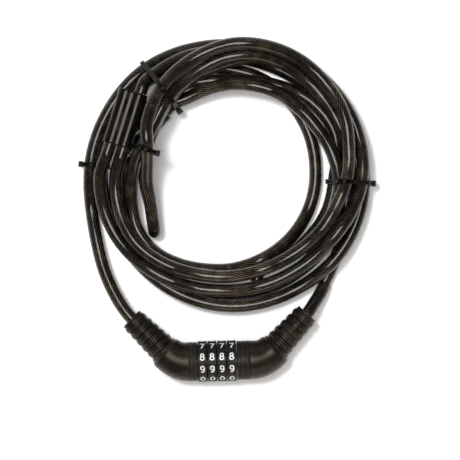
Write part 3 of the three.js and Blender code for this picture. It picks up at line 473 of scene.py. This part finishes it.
# How far in from a sleeve's end, and how far under its full thickness there.
SLEEVE_EDGE = ((0.0, 0.55), (0.25, 0.12), (0.9, 0.0), (3.0, 0.0), (4.2, 0.14), (9.0, 0.18))
TIE_WIDTH = 3.2
TIE_THICKNESS = 1.0
TIE_CLEARANCE = 0.45
TIE_LIFT = TIE_THICKNESS + TIE_CLEARANCE + 0.1
STRAP_SLACK = 1.6
BAND_SIDES, BAND_POINTS = 28, 140
TIE_HEAD = 4.6
TIE_TAIL = 3.0
FOLD_RISE = 11.0
STEP = 2.5                     # degrees between the places where turns are laid
RING_STEP = 10                 # degrees between the rings that a run's straights join
LAYING_ROUNDS = 700            # at most
FOLD_STEPS = 15
ARCH = 100.0                   # least radius of the arch of a turn over others
FLOOR = CABLE_RADIUS + 0.15    # the height at which the lowest turns lie
MOUTHS = (SLEEVE_LENGTH / 2 + RUN_GAP, SLEEVE_LENGTH / 2 + RUN_GAP + 2 * CABLE_RADIUS)
SLICES = round(360 / STEP)


def on_coil(bearing, radius, height):
    turn = radians(bearing + TWIST)
    return Vector((COIL_X + radius * cos(turn), COIL_Y + radius * sin(turn), height))


class Spot:
    """A place on the coil: a bearing in degrees, a radius and a rank."""
    owner = sleeve = joined = inside = None
    half, height = CABLE_RADIUS, 0.0

    def __init__(self, bearing, radius, rank, **more):
        self.bearing, self.radius, self.rank = bearing, radius, rank
        self.__dict__.update(more)


def slice_of(bearing):
    return round(bearing / STEP) % SLICES


def station_at(stations, bearing):
    """A smooth radius and a straight rank between stations."""
    def slope(n):
        a = stations[max(n - 1, 0)]
        b = stations[min(n + 1, len(stations) - 1)]
        return (b[1] - a[1]) / (b[0] - a[0])

    way = 1 if stations[1][0] > stations[0][0] else -1
    n = 0
    while n + 2 < len(stations) and way * bearing > way * stations[n + 1][0]:
        n += 1
    a, b = stations[n], stations[n + 1]
    width = b[0] - a[0]
    t = (bearing - a[0]) / width
    radius = (a[1] * (1 + 2 * t) * (1 - t) ** 2 + b[1] * t * t * (3 - 2 * t)
              + slope(n) * width * t * (1 - t) ** 2 + slope(n + 1) * width * t * t * (t - 1))
    return Spot(bearing, radius, a[2] + (b[2] - a[2]) * t)


def sleeve_frame(name):
    """The middle of a sleeve, and the directions along and across it."""
    sleeve = SLEEVES[name]
    middle = on_coil(sleeve.bearing, sleeve.radius, 0.0)
    heading = radians(sleeve.bearing + TWIST + 90 + sleeve.lean)
    along = Vector((cos(heading), sin(heading), 0.0))
    return middle, along, Vector((along.y, -along.x, 0.0))


def sleeve_point(name, distance, bore):
    middle, along, across = sleeve_frame(name)
    return middle + along * distance + across * (bore * SLEEVE_BARRELS)


def in_sleeve(name, distance, bore):
    at = sleeve_point(name, distance, bore)
    dx, dy = at.x - COIL_X, at.y - COIL_Y
    return Spot(degrees(atan2(dy, dx)) - TWIST, hypot(dx, dy), SLEEVES[name].rank, sleeve=name)


def rings_of(name):
    """The rings of a run at even bearings, with straight ends where it meets a sleeve."""
    stations = RUNS[name]
    first, last = stations[0][0], stations[-1][0]
    way = 1 if last > first else -1
    rings = [station_at(stations, first)]
    n = ceil(way * first / RING_STEP + 0.3)
    while n * RING_STEP < way * last - RING_STEP * 0.3:
        rings.append(station_at(stations, way * n * RING_STEP))
        n += 1
    rings.append(station_at(stations, last))
    at_end, sleeve, end, bore = JOINS[name]
    near = last if at_end else first
    ends = [in_sleeve(sleeve, end * distance, bore) for distance in MOUTHS]
    for ring in ends:
        ring.bearing += 360 * round((near - ring.bearing) / 360)
    return rings + ends[::-1] if at_end else ends + rings


def places_of(name, rings):
    """Places every few degrees along a run, each on the straight between two rings."""
    places = []
    for a, b in zip(rings, rings[1:]):
        way = 1 if b.bearing > a.bearing else -1
        width = radians(abs(b.bearing - a.bearing))
        k = ceil(way * a.bearing / STEP - 1e-6)
        while k * STEP < way * b.bearing - 1e-6:
            at = station_at(RUNS[name], way * k * STEP)
            turn = radians(abs(at.bearing - a.bearing))
            near, far = a.radius * sin(turn), b.radius * sin(width - turn)
            at.smooth, at.radius = at.radius, a.radius * b.radius * sin(width) / (near + far)
            at.owner = OWNERS.get(name, name)
            at.joined, at.inside = a.sleeve or b.sleeve, a.sleeve and b.sleeve
            if at.joined:
                at.smooth = at.radius
                at.rank = a.rank + (b.rank - a.rank) * near / (near + far)
            places.append(at)
            k += 1
    return places


def sleeve_places(name):
    places = []
    for bore in (-0.5, 0.0, 0.5):
        seen = set()
        for n in range(round((SLEEVE_LENGTH + 8) / 0.5) + 1):
            at = in_sleeve(name, -SLEEVE_LENGTH / 2 - 4 + 0.5 * n, bore)
            if slice_of(at.bearing) not in seen:
                seen.add(slice_of(at.bearing))
                at.owner, at.half, at.height = name, SLEEVE_HALF, SLEEVE_HALF
                places.append(at)
    return places


def fold_places():
    """The flat turned-back end of the left eye, for what lies over it."""
    inner, outer = RUNS["inner_leg"][-1], RUNS["outer_leg"][-1]
    middle, half = (inner[1] + outer[1]) / 2, (inner[1] - outer[1]) / 2
    return [Spot(inner[0] - n * STEP, middle + side * half, outer[2], owner="left_eye")
            for n, part in ((1, 0.9), (2, 0.4), (3, 0.1)) for side in (-part, 0.0, part)]


def held(tie, at):
    return tie.inner < at.radius < tie.outer and at.rank < tie.top


def tie_round(at, reach):
    """The tie that goes round a place, if it lies within so many steps of one."""
    for name, tie in TIES.items():
        off = abs(slice_of(at.bearing) - slice_of(tie.bearing))
        if min(off, SLICES - off) <= reach and held(tie, at):
            return name
    return None


def lay_coil():
    """Each run rests on the floor or on the runs below it, and arches over them."""
    places = {name: places_of(name, rings_of(name)) for name in RUNS}
    blocks = {name: sleeve_places(name) for name in SLEEVES}
    turned = fold_places()
    slices = [[] for _ in range(SLICES)]
    for group in [*places.values(), *blocks.values(), turned]:
        for at in group:
            slices[slice_of(at.bearing)].append(at)
    for group in slices:
        group.sort(key=lambda at: at.rank)
        for n, at in enumerate(group):
            at.floor = at.half + FLOOR - CABLE_RADIUS + (TIE_LIFT if tie_round(at, 4) else 0.0)
            at.under = []
            for below in group[:n]:
                joined = at.joined == below.owner or below.joined == at.owner
                if below.rank >= at.rank or joined:
                    continue
                own = OWN_CLEARANCE if below.owner == at.owner else CABLE_CLEARANCE
                strap = 0.0 if tie_round(below, 2) == tie_round(at, 2) else TIE_LIFT + STRAP_SLACK
                need = below.half + at.half + own
                apart = abs(below.radius - at.radius)
                if apart < need:
                    at.under.append((below, sqrt(need * need - apart * apart) + strap))
    for _ in range(LAYING_ROUNDS):
        for group in slices:
            for at in group:
                at.rest = max([at.floor] + [below.height + lift for below, lift in at.under])
        for block in blocks.values():
            height = max(at.rest for at in block)
            for at in block:
                at.height = height
        moved = 0.0
        for run in places.values():
            for n, at in enumerate(run):
                before = at.height
                if at.inside:
                    at.height = blocks[at.inside][0].height
                elif n in (0, len(run) - 1):
                    at.height = at.rest
                else:
                    free = (run[n - 1].height + run[n + 1].height) / 2
                    sag = (at.radius * radians(STEP)) ** 2 / (2 * ARCH)
                    at.height = max(at.rest, free - sag)
                moved = max(moved, abs(at.height - before))
        over, under = places["over_leg"][-1], places["under_leg"][-1]
        inner, outer = places["inner_leg"][-1], places["outer_leg"][-1]
        over.height = max(over.height, under.height + FOLD_RISE)
        inner.height = outer.height = max(inner.height, outer.height)
        for at in turned:
            at.height = inner.height
        if moved < 0.0005:
            break
    return places, {name: block[0].height for name, block in blocks.items()}, slices


LAID, SLEEVE_HEIGHTS, SLICED = lay_coil()


def smoothed(points, rounds=2):
    for _ in range(rounds):
        eased = [(a + b * 2 + c) / 4 for a, b, c in zip(points, points[1:], points[2:])]
        points = points[:1] + eased + points[-1:]
    return points


def run_points(name):
    """A run's route, in millimetres from the dials, with its straight end at the sleeve."""
    run = [at for at in LAID[name] if not at.inside]
    heights = smoothed([at.height for at in run])
    points = [on_coil(at.bearing, at.smooth, height) for at, height in zip(run, heights)]
    at_end, sleeve, end, bore = JOINS[name]
    bearing, radius, _ = RUNS[name][0 if at_end else -1]
    if at_end:
        points.reverse()
    last = on_coil(bearing, radius, points[-1].z)
    if (last - points[-1]).length > 1.0:
        points.append(last)
    lift = Vector((0.0, 0.0, SLEEVE_HEIGHTS[sleeve]))
    mouth = [sleeve_point(sleeve, end * distance, bore) + lift
             for distance in (MOUTHS[0], sum(MOUTHS) / 2, MOUTHS[1])]
    return (mouth + points)[::-1] if at_end else mouth + points


def fold_points(first, second):
    """The turned-back end of an eye, between the ends of its two legs."""
    a, b = first[-1], second[-1]
    radial = (b - a).normalized()
    along = (a - first[-3]).normalized()
    along = (along - radial * along.dot(radial)).normalized()
    half = (b - a).length / 2
    turns = [pi * n / FOLD_STEPS for n in range(1, FOLD_STEPS)]
    return [(a + b) / 2 - radial * (half * cos(turn)) + along * (half * sin(turn) * 1.15)
            for turn in turns]


def length_of(line):
    return sum((b - a).length for a, b in zip(line, line[1:]))


def evenly(line, count):
    """So many places at an even spacing along a line, its end left out."""
    spacing = length_of(line) / count
    even, walked = [], 0.0
    for a, b in zip(line, line[1:]):
        length = (b - a).length
        while len(even) < count and len(even) * spacing < walked + length:
            even.append(a.lerp(b, (len(even) * spacing - walked) / length))
        walked += length
    return even


def spline(points, spacing):
    """Points at an even spacing on a centripetal curve through the given ones."""
    def knot(a, b):
        return max((b - a).length, 1e-6) ** 0.5

    def between(a, b, start, end):
        return a.lerp(b, (t - start) / (end - start))

    padded = [points[0] * 2 - points[1]] + points + [points[-1] * 2 - points[-2]]
    fine = []
    for n in range(1, len(padded) - 2):
        p0, p1, p2, p3 = padded[n - 1:n + 3]
        t1 = knot(p0, p1)
        t2 = t1 + knot(p1, p2)
        t3 = t2 + knot(p2, p3)
        for k in range(SPLINE_STEPS):
            t = t1 + (t2 - t1) * k / SPLINE_STEPS
            a1, a2, a3 = between(p0, p1, 0, t1), between(p1, p2, t1, t2), between(p2, p3, t2, t3)
            b1, b2 = between(a1, a2, 0, t2), between(a2, a3, t1, t3)
            fine.append(between(b1, b2, t1, t2))
    fine.append(points[-1])
    return evenly(fine, max(2, round(length_of(fine) / spacing))) + [fine[-1]]


# ---- sleeves
def stadium(half, radius, waist, count=20):
    """Two round lobes side by side, drawn in by waist between them."""
    ring = []
    for lobe in (1, -1):
        for k in range(count + 1):
            turn = pi * (k / count - 0.5)
            ring.append((lobe * (half + radius * cos(turn)), lobe * radius * sin(turn)))
        for k in range(1, 10):
            t = k / 10
            x = lobe * half * (1 - 2 * t)
            ring.append((x, lobe * (radius - waist * sin(pi * t) ** 2)))
    return ring


def make_sleeve(name):
    middle, along, across = sleeve_frame(name)
    end = SLEEVE_LENGTH / 2
    bore = BORE_RADIUS - 0.1
    rows = [(end - inset, SLEEVE_HALF - drop, 0.8) for inset, drop in SLEEVE_EDGE]
    rows += [(-distance, radius, waist) for distance, radius, waist in rows[::-1]]
    rows += [(-end, bore + 0.25, 1.9), (0.5 - end, bore, 1.9), (6 - end, bore, 1.9),
             (end - 6, bore, 1.9), (end - 0.5, bore, 1.9), (end, bore + 0.25, 1.9)]
    rings = []
    for distance, radius, waist in rows:
        level = middle + along * distance + Vector((0, 0, SLEEVE_HEIGHTS[name]))
        rings.append(to_frame(level + across * x + Vector((0, 0, z))
                              for x, z in stadium(SLEEVE_BARRELS / 2, radius, waist)))
    made = shell(name + "_crimped", rings, sleeve_black, 50)
    return mount(made, "lock", "sleeve_black", name)


SLEEVE_PIECES = {name: make_sleeve(name) for name in SLEEVES}


# ---- leads
def boot_axis(word):
    facts = SIDES[word]
    side = facts.side
    start = Vector((side * facts.elbow, 0.0, AXIS))
    end = Vector((side * (facts.elbow + facts.boot[0]), facts.boot[1], AXIS))
    return start, end, (end - start).normalized(), (end - start).length


LEAD_ROUTES = {
    "left": [(-68.5, 42.3, 0.2), (-74.6, 54.0, 0.4), (-80.2, 68.0, 0.6), (-83.3, 80.9, 0.8),
             (-85.9, 95.2, 0.9)],
    "right": [(70.4, 38.5, 0.25), (75.6, 45.8, 0.65), (79.9, 54.3, 0.95)],
}


def lead_points(word):
    """From inside the housing, out of the boot and down to the coil."""
    facts = SIDES[word]
    side = facts.side
    start, end, direction, _ = boot_axis(word)
    outside = side * (HEAD_END + facts.band + facts.core)
    inside = outside - side * 5.3
    coil = run_points(word + "_coil")
    drop = AXIS - coil[0].z
    away = (coil[0] - coil[1]).normalized()
    points = [
        Vector((inside, 0, AXIS)), Vector((outside, 0, AXIS)),
        start + direction * 9 + Vector((0, -0.8, 0)), start + direction * 17,
        end - direction * 10, end + direction * 2]
    points += [Vector((x, y, AXIS - drop * share)) for x, y, share in LEAD_ROUTES[word]]
    points.append(coil[0] + away * (2 * CABLE_RADIUS * 0.7))
    return points, coil


def declare(piece, nodes, body="lock"):
    mount(piece, body, "vinyl", *nodes)


def thinned(points):
    """A route without places that all but fall together, its corners eased."""
    apart = points[:1]
    for point in points[1:-1]:
        if min((point - apart[-1]).length, (point - points[-1]).length) > LEAST_APART:
            apart.append(point)
    return smoothed(apart + points[-1:], 1)


# The left cable: a lead out of the plug, riding on no body, then its coil.
lead, coil = lead_points("left")
route = to_frame(spline(lead + thinned(coil), LEAD_SPACING))
joint = place(*coil[0])
split = min(range(len(route)), key=lambda n: (route[n] - joint).length)
route = smoothed(route[:split + 8], 6) + route[split + 8:]
turns_at = frames_along(route)
lead, coil = route[:split + 1], route[split:]
lead_piece, lead_length = cable("cable_left_lead", lead, frames=turns_at[:split + 1])
coil_piece, coil_length = cable("cable_left_coil", coil, lead_length, turns_at[split:])
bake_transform(lead_piece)
declare(lead_piece, ["left_lead"], body=None)
declare(coil_piece, ["left_coil"])

# The right cable runs from the housing to its sleeve in one piece.
lead, coil = lead_points("right")
route = to_frame(spline(lead + thinned(coil), LEAD_SPACING))
piece, length = cable("cable_right", route)
declare(piece, ["right_lead", "right_coil"])

# The eyes: out of a sleeve along one leg, round a fold and back along the other.
for word, legs in (("right", ("over_leg", "under_leg")), ("left", ("inner_leg", "outer_leg"))):
    out, back = (thinned(run_points(leg)) for leg in legs)
    eye = to_frame(spline(out + fold_points(out, back) + back[::-1], EYE_SPACING))
    piece, length = cable(f"cable_{word}_eye", eye)
    declare(piece, [f"{word}_eye"])


# ---- ties
def hull(points):
    """The shortest closed line round a set of points."""
    def chain(ordered):
        line = []
        for point in ordered:
            while len(line) > 1:
                (px, py), (qx, qy) = line[-2:]
                if (qx - px) * (point[1] - py) - (qy - py) * (point[0] - px) > 1e-9:
                    break
                line.pop()
            line.append(point)
        return line[:-1]

    ordered = sorted(points)
    return chain(ordered) + chain(ordered[::-1])


def band_outline(turns, margin):
    """A band's line round the turns that it holds: distance from the coil, and height."""
    angles = [2 * pi * k / BAND_SIDES for k in range(BAND_SIDES)]
    line = [Vector(point) for point in hull([
        (at.radius + (at.half + margin) * cos(angle), at.height + (at.half + margin) * sin(angle))
        for at in turns for angle in angles])]
    return evenly(line + line[:1], BAND_POINTS)


def make_tie(name):
    tie = TIES[name]
    turns = [at for n in (-1, 0, 1) for at in SLICED[slice_of(tie.bearing + n * STEP)]
             if held(tie, at)]
    turn = radians(tie.bearing + TWIST)
    radial = Vector((cos(turn), sin(turn), 0.0))
    along = Vector((-radial.y, radial.x, 0.0))

    def at_tie(r, z, w):
        spot = Vector((COIL_X, COIL_Y, 0.0)) + radial * r + along * w
        return place(spot.x, spot.y, z)

    half = TIE_WIDTH / 2
    # How far out of the band's thickness, and how far from its middle line.
    edge = ((0.0, 1.0), (0.75, 1.0), (1.0, 0.82), (1.0, 0.55), (0.72, 0.45))
    profile = [(out, -wide) for out, wide in edge] + list(edge[::-1])
    lines = {out: band_outline(turns, TIE_CLEARANCE + TIE_THICKNESS * out) for out, _ in edge}
    band = shell(name + "_band", [[at_tie(p.x, p.y, wide * half) for p in lines[out]]
                                  for out, wide in profile], tie_nylon, 50)

    side = tie.side
    last = max(turns, key=lambda at: side * at.radius + at.half)
    level = last.height
    reach = last.half + TIE_CLEARANCE + TIE_THICKNESS * 0.3 + TIE_HEAD * 0.34
    middle = last.radius + side * reach
    corners = []

    def box(thick, bottom, top, wide, pinch=0.0):
        for r in (middle - thick, middle + thick):
            for z, w in ((bottom, wide * (1 - pinch)), (top, wide)):
                corners.extend(at_tie(r, level + z, way * w) for way in (-1, 1))

    head_end = TIE_HEAD / 2
    tail_end = head_end + TIE_TAIL
    box(TIE_HEAD * 0.34, -head_end, head_end, TIE_HEAD * 0.46)
    box(TIE_THICKNESS / 2, -tail_end, -head_end, half * 0.7, pinch=0.35)
    box(TIE_THICKNESS / 2, head_end, tail_end, half * 0.7)
    head = boxes(name + "_head", corners, tie_nylon, 40)
    bevel(head, 0.35, 3)
    mount(band, "lock", "tie_nylon", name)
    mount(head, "lock", "tie_nylon")


for name in TIES:
    make_tie(name)


# ---- covers
RIB_COUNT = 5
RIB_PITCH = 5.85
RIB_ELBOW_RADIUS = 10.6
RIB_END_RADIUS = 9.2
RIB_DEPTH = 0.85
RIB_END_MARGIN = 4.6
MOUTH_RADIUS = 8.1
NECK_RADIUS = 11.0
ELBOW_RADIUS = 12.7
BEND_RADIUS = 21.5
HOLLOW_RADIUS = 8.4            # inside a cover, round the cable's end
BEND_STEPS = 16
BOOT_STEP = 0.25
COVER_SIDES = 80
COVER_GAP = 0.06               # between a housing's band and its cover
COVER_EDGE = ((0.0, 13.8), (0.2, 13.93), (0.5, 14.0))


def step_between(value, low_edge, high_edge):
    t = min(max((value - low_edge) / (high_edge - low_edge), 0.0), 1.0)
    return t * t * (3 - 2 * t)


def boot_radius(along, length, tangent):
    """The outer radius of a boot, so far along it from the elbow."""
    first = length - RIB_END_MARGIN - (RIB_COUNT - 1) * RIB_PITCH
    index = (along - first) / RIB_PITCH
    share = min(max(index / (RIB_COUNT - 1), 0.0), 1.0)
    top = RIB_ELBOW_RADIUS + (RIB_END_RADIUS - RIB_ELBOW_RADIUS) * share
    if index < -0.5:
        edge = first - 0.5 * RIB_PITCH
        drawn = step_between(along, tangent, edge - 0.9)
        neck = ELBOW_RADIUS + (NECK_RADIUS - ELBOW_RADIUS) * drawn
        line = 0.35 * (1 - step_between(abs(along - edge + 2.2), 0.15, 0.5))
        return neck - line - (neck - top + 0.55) * step_between(along, edge - 1.1, edge - 0.05)
    if index > RIB_COUNT - 0.5:
        lip = length - along
        rim = step_between(lip, 0.0, 0.5) * (1 - step_between(lip, 1.0, 1.6))
        return MOUTH_RADIUS - 0.05 + 0.22 * rim
    off = abs(index - min(max(round(index), 0), RIB_COUNT - 1)) * RIB_PITCH
    # A rounded bead, with broad shoulders that drop into a narrow groove.
    bead = 0.45 * (1 - step_between(off, 0.3, 1.6))
    groove = step_between(off, 2.25, 2.85)
    return top - 0.45 + bead - RIB_DEPTH * groove


def make_cover(word):
    facts = SIDES[word]
    side = facts.side
    start, _, direction, length = boot_axis(word)
    near = side * (HEAD_END + facts.band + COVER_GAP)
    core_end = side * (HEAD_END + facts.band + facts.core)
    turn = atan2(facts.boot[1], facts.boot[0])
    tangent = BEND_RADIUS * tan(turn / 2)
    bend_start = start - Vector((side * tangent, 0, 0))
    pivot = bend_start + Vector((0, BEND_RADIUS, 0))
    stations = []

    def straight(x, radius):
        stations.append((Vector((x, 0.0, AXIS)), Vector((side, 0.0, 0.0)), radius))

    def bent(share, radius):
        angle = turn * share
        heading = Vector((side * cos(angle), sin(angle), 0.0))
        outward = Vector((side * sin(angle), -cos(angle), 0.0))
        stations.append((pivot + outward * BEND_RADIUS, heading, radius))

    def boot(along, radius):
        stations.append((start + direction * along, direction, radius))

    span = abs(bend_start.x - near)
    for inset, radius in COVER_EDGE:
        straight(near + side * min(inset, span * 0.9), radius)
    steps = max(1, round(span / 1.5))
    for n in range(1, steps):
        straight(near + side * span * n / steps, COVER_EDGE[-1][1])
    for n in range(BEND_STEPS + 1):
        share = n / BEND_STEPS
        drawn = step_between(share, 0.0, 1.0)
        bent(share, HOUSING_RADIUS + (ELBOW_RADIUS - HOUSING_RADIUS) * drawn)
    along = tangent + 0.4
    while along < length - 0.1:
        boot(along, boot_radius(along, length, tangent))
        along += BOOT_STEP
    boot(length, MOUTH_RADIUS - 0.2)
    # The mouth, and then back down inside to the barrel's own bore.
    boot(length, BORE_RADIUS + 0.5)
    boot(length - 0.4, BORE_RADIUS)
    boot(16, BORE_RADIUS)
    boot(9, HOLLOW_RADIUS)
    bent(0.66, HOLLOW_RADIUS)
    bent(0.33, HOLLOW_RADIUS)
    inner = CORE_RADIUS + RUN_GAP
    straight(core_end + side * 0.35, HOLLOW_RADIUS)
    straight(core_end + side * 0.3, inner)
    straight(near + side * 0.3, inner)
    straight(near, inner + 0.3)

    up = Vector((0, 0, 1))
    rows = [to_frame(circle(middle, up.cross(heading).normalized(), up, radius, COVER_SIDES))
            for middle, heading, radius in stations]
    made = shell(word + "_cover_moulded", rows, rubber, 50)
    mount(made, facts.body, "rubber", word + "_cover")


def make_housing(word):
    facts = SIDES[word]
    side = facts.side
    band, recess, bore = facts.band, facts.recess, facts.bore
    seat = recess + facts.seat
    end = band + facts.core
    outer = HOUSING_RADIUS
    profile = [(0.0, 9.6), (0.0, outer - 0.5), (0.15, outer - 0.15), (0.5, outer)]
    for at in facts.lines:
        profile += [(at, outer), (at + 0.2, outer - 0.35), (at + 0.55, outer - 0.35),
                    (at + 0.75, outer)]
    profile += [(band - 0.35, outer), (band - 0.1, outer - 0.12), (band, outer - 0.4),
                (band, CORE_RADIUS), (end, CORE_RADIUS), (end, 6.95), (end - 6.0, 6.95),
                (end - 6.0, bore), (seat, bore), (recess, bore), (recess, 9.1), (0.25, 9.1)]
    across, up = Vector((0, 0, -side)), Vector((0, 1, 0))
    rows = [to_frame(circle(Vector((side * (HEAD_END + at), 0.0, AXIS)), across, up, radius, 96))
            for at, radius in profile]
    made = shell(word + "_housing_turned", rows, housing_black, 35)
    middle = side * (HEAD_END + band / 2)
    corners = [place(middle + x * grow, y * grow, z)
               for x in (-1.8, 1.8) for y in (-4.5, 4.5) for z, grow in ((0.0, 1.0), (2.6, 1.12))]
    foot = boxes(word + "_rest_land", corners, housing_black, 30)
    bevel(foot, 0.25, 2)
    mount(made, facts.body, "black_metal", word + "_housing")
    mount(foot, facts.body, "black_metal")


for word in SIDES:
    make_cover(word)
    make_housing(word)


# ---- dials
# A dial's edge, from its rim into its bore: the distance from its face and the radius.
DIAL_RIM = ((0.45, DIAL_RADIUS), (0.15, DIAL_RADIUS - 0.2), (0.0, DIAL_RADIUS - 0.55))
DIAL_FACE = ((0.0, 13.2), (-0.13, 13.0), (-0.13, 12.0), (0.25, 11.6), (0.25, DIAL_BORE + 0.2),
             (0.4, DIAL_BORE))
KEY_HALF, KEY_REACH = 1.5, 9.9  # of the notch in a dial's bore


def dial_ring(x, radius):
    """Points round a dial, from straight up towards the coil."""
    ring = []
    for k in range(160):
        turn = 36.0 * k / 16
        reach = radius
        if radius >= DIAL_RIM[-1][1]:
            off = abs((turn + 18.0) % 36.0 - 18.0)
            reach -= DIAL_GROOVE * step_between(off, 13.0, 15.8)
        angle = radians(turn + DIAL_PHASE)
        y, z = reach * sin(angle), reach * cos(angle)
        if radius == DIAL_BORE and z < 0 and abs(y) < KEY_HALF:
            z = -KEY_REACH
        ring.append(place(x, y, AXIS + z))
    return ring


def make_dial(n):
    centre = (n - 1.5) * DIAL_PITCH
    rows = [(DIAL_WIDTH / 2 - inset, radius) for inset, radius in DIAL_RIM + DIAL_FACE]
    rows += [(-x, radius) for x, radius in rows[::-1]]
    rings = [dial_ring(centre + x, radius) for x, radius in rows]
    made = shell(f"dial_{n + 1}_scalloped", rings, dial_plastic, 32)
    mount(made, f"dial_{n + 1}", "dial_plastic", f"dial_{n + 1}")


FIGURE_STROKE = 0.43           # half the width of a painted line


def bow(x, y, wide, high, start, end, count=18):
    """Places round an oval, from one angle to another, in degrees."""
    turns = [radians(start + (end - start) * n / count) for n in range(count + 1)]
    return [(x + wide * cos(turn), y + high * sin(turn)) for turn in turns]


NINE = [bow(0, 1.0, 1.25, 1.35, -20, 345, 26), bow(-0.05, 0.15, 1.32, 2.35, 25, -128)]
FIGURES = {
    0: [bow(0, 0, 1.4, 2.25, 0, 360, 32)],
    1: [[(-0.95, 1.35), (0.1, 2.3), (0.1, -2.35)]],
    2: [bow(0, 1.05, 1.35, 1.25, 165, -40) + [(-1.35, -2.2), (1.5, -2.2)]],
    3: [bow(-0.05, 1.15, 1.25, 1.1, 150, -90), bow(-0.05, -1.1, 1.4, 1.15, 90, -150)],
    4: [[(0.65, -2.35), (0.65, 2.3), (-1.45, -0.85), (1.5, -0.85)]],
    5: [[(1.25, 2.2), (-1.0, 2.2), (-1.2, 0.15)] + bow(-0.05, -0.75, 1.4, 1.45, 125, -145)],
    6: [[(-x, -y) for x, y in line] for line in NINE],
    7: [[(-1.45, 2.2), (1.4, 2.2), (-0.5, -2.35)]],
    8: [bow(0, 1.2, 1.08, 1.08, 0, 360, 26), bow(0, -1.1, 1.35, 1.2, 0, 360, 28)],
    9: NINE,
}


def stroke(line):
    """Both sides of a band of even width along a line, with square ends."""
    spots = [Vector(spot) for spot in line]
    fine = []
    for a, b in zip(spots, spots[1:]):
        steps = max(1, round((b - a).length / 0.45))
        fine += [a.lerp(b, n / steps) for n in range(steps)]
    fine.append(spots[-1])
    ways = [(b - a).normalized() for a, b in zip(fine, fine[1:])]
    closed = (fine[-1] - fine[0]).length < 1e-5
    befores = [ways[-1 if closed else 0]] + ways
    afters = ways + [ways[0 if closed else -1]]
    edges = []
    for spot, before, after in zip(fine, befores, afters):
        middle = (before + after).normalized()
        reach = FIGURE_STROKE / max(0.55, abs(middle.dot(before)))
        across = Vector((-middle.y, middle.x)) * reach
        edges += [spot + across, spot - across]
    return edges


def make_figures(n):
    centre = (n - 1.5) * DIAL_PITCH
    corners, faces = [], []
    for digit, lines in FIGURES.items():
        middle = radians(DIAL_PHASE - 36.0 * (digit - 8))
        for layer, line in enumerate(lines):
            reach = DIAL_RADIUS + 0.03 + 0.01 * layer
            first = len(corners)
            for x, y in stroke(line):
                turn = middle + y / DIAL_RADIUS
                corners.append(place(centre + x, reach * sin(turn), AXIS + reach * cos(turn)))
            faces += [(k, k + 1, k + 3, k + 2) for k in range(first, len(corners) - 2, 2)]
    name = f"dial_{n + 1}_figures"
    made = make_object(name, new_mesh(name, corners, faces), digit_paint, 0)
    mount(made, f"dial_{n + 1}", "dial_plastic")


for make in (make_dial, make_figures):
    for index in range(DIAL_COUNT):
        make(index)

# ---- kept CAD nodes
KEPT = ((steel, ("spindle_tube", "end_collar", "plug_pin", "left_ferrule", "right_ferrule",
                 "left_clamp_screw", "right_clamp_screw")),
        (spring_steel, ("detent_spring",)),
        (brass, [f"code_ring_{n + 1}" for n in range(DIAL_COUNT)]))
for material, names in KEPT:
    for name in names:
        for slot in bpy.data.objects[name].material_slots:
            slot.material = material

# ---- floor and light
floor_mesh = new_mesh("floor", [(-3, -3, 0), (3, -3, 0), (3, 3, 0), (-3, 3, 0)], [(0, 1, 2, 3)])
n = material_nodes("floor")
rays = n.add("LightPath").outputs
seen = n.math("MAXIMUM", rays["Is Camera Ray"], rays["Is Glossy Ray"])
seen = n.math("MAXIMUM", seen, rays["Is Transmission Ray"])
reach = n.add("VectorMath", {0: n.place()}, operation="LENGTH").outputs["Value"]
n.set(Base_Color=n.mix(seen, (0.80, 0.80, 0.80), (0.97, 0.97, 0.97)), Roughness=0.9,
      Specular_IOR_Level=0.1, Emission_Color=(1.0, 1.0, 1.0, 1.0),
      Emission_Strength=n.times(seen, n.range(reach, 0.32, 1.2, 0.14, 1.0)))
floor = make_object("floor", floor_mesh, n.owner, 0)

n = Nodes(bpy.data.worlds.new("world"), "Background")
bpy.context.scene.world = n.owner
parts = n.add("SeparateXYZ", {0: n.add("TexCoord").outputs["Generated"]})
level = n.range(parts.outputs["Z"], 0.0, 0.9, 0.32, 0.03)
camera_ray = n.add("LightPath").outputs["Is Camera Ray"]
n.set(Color=(1.0, 1.0, 1.0, 1.0),
      Strength=n.add("Mix", {"Factor": camera_ray, "A": level, "B": 1.0}).outputs["Result"])


def area_light(name, location, size, power, size_y=None):
    data = bpy.data.lights.new(name, "AREA")
    data.energy, data.size = power, size
    if size_y:
        data.shape = "RECTANGLE"
        data.size_y = size_y
    made = link(name, data)
    made.location = location
    aim = Vector((0.0, 0.09, 0.0)) - Vector(location)
    made.rotation_euler = aim.to_track_quat("-Z", "Y").to_euler()
    return made


area_light("key", (-0.36, 0.45, 1.62), 0.26, 18.0).visible_glossy = False
area_light("overhead", (-0.10, 0.12, 1.80), 0.54, 9.5).visible_glossy = False
area_light("gloss", (-0.10, 0.14, 1.80), 0.80, 16.5).visible_diffuse = False
area_light("back", (-0.25, 1.50, 0.90), 2.2, 2.0, 0.07)
area_light("front", (0.20, -1.20, 0.60), 1.1, 3.2, 0.5).data.color = (1.0, 0.86, 0.70)

bpy.context.scene.view_settings.view_transform = "Standard"
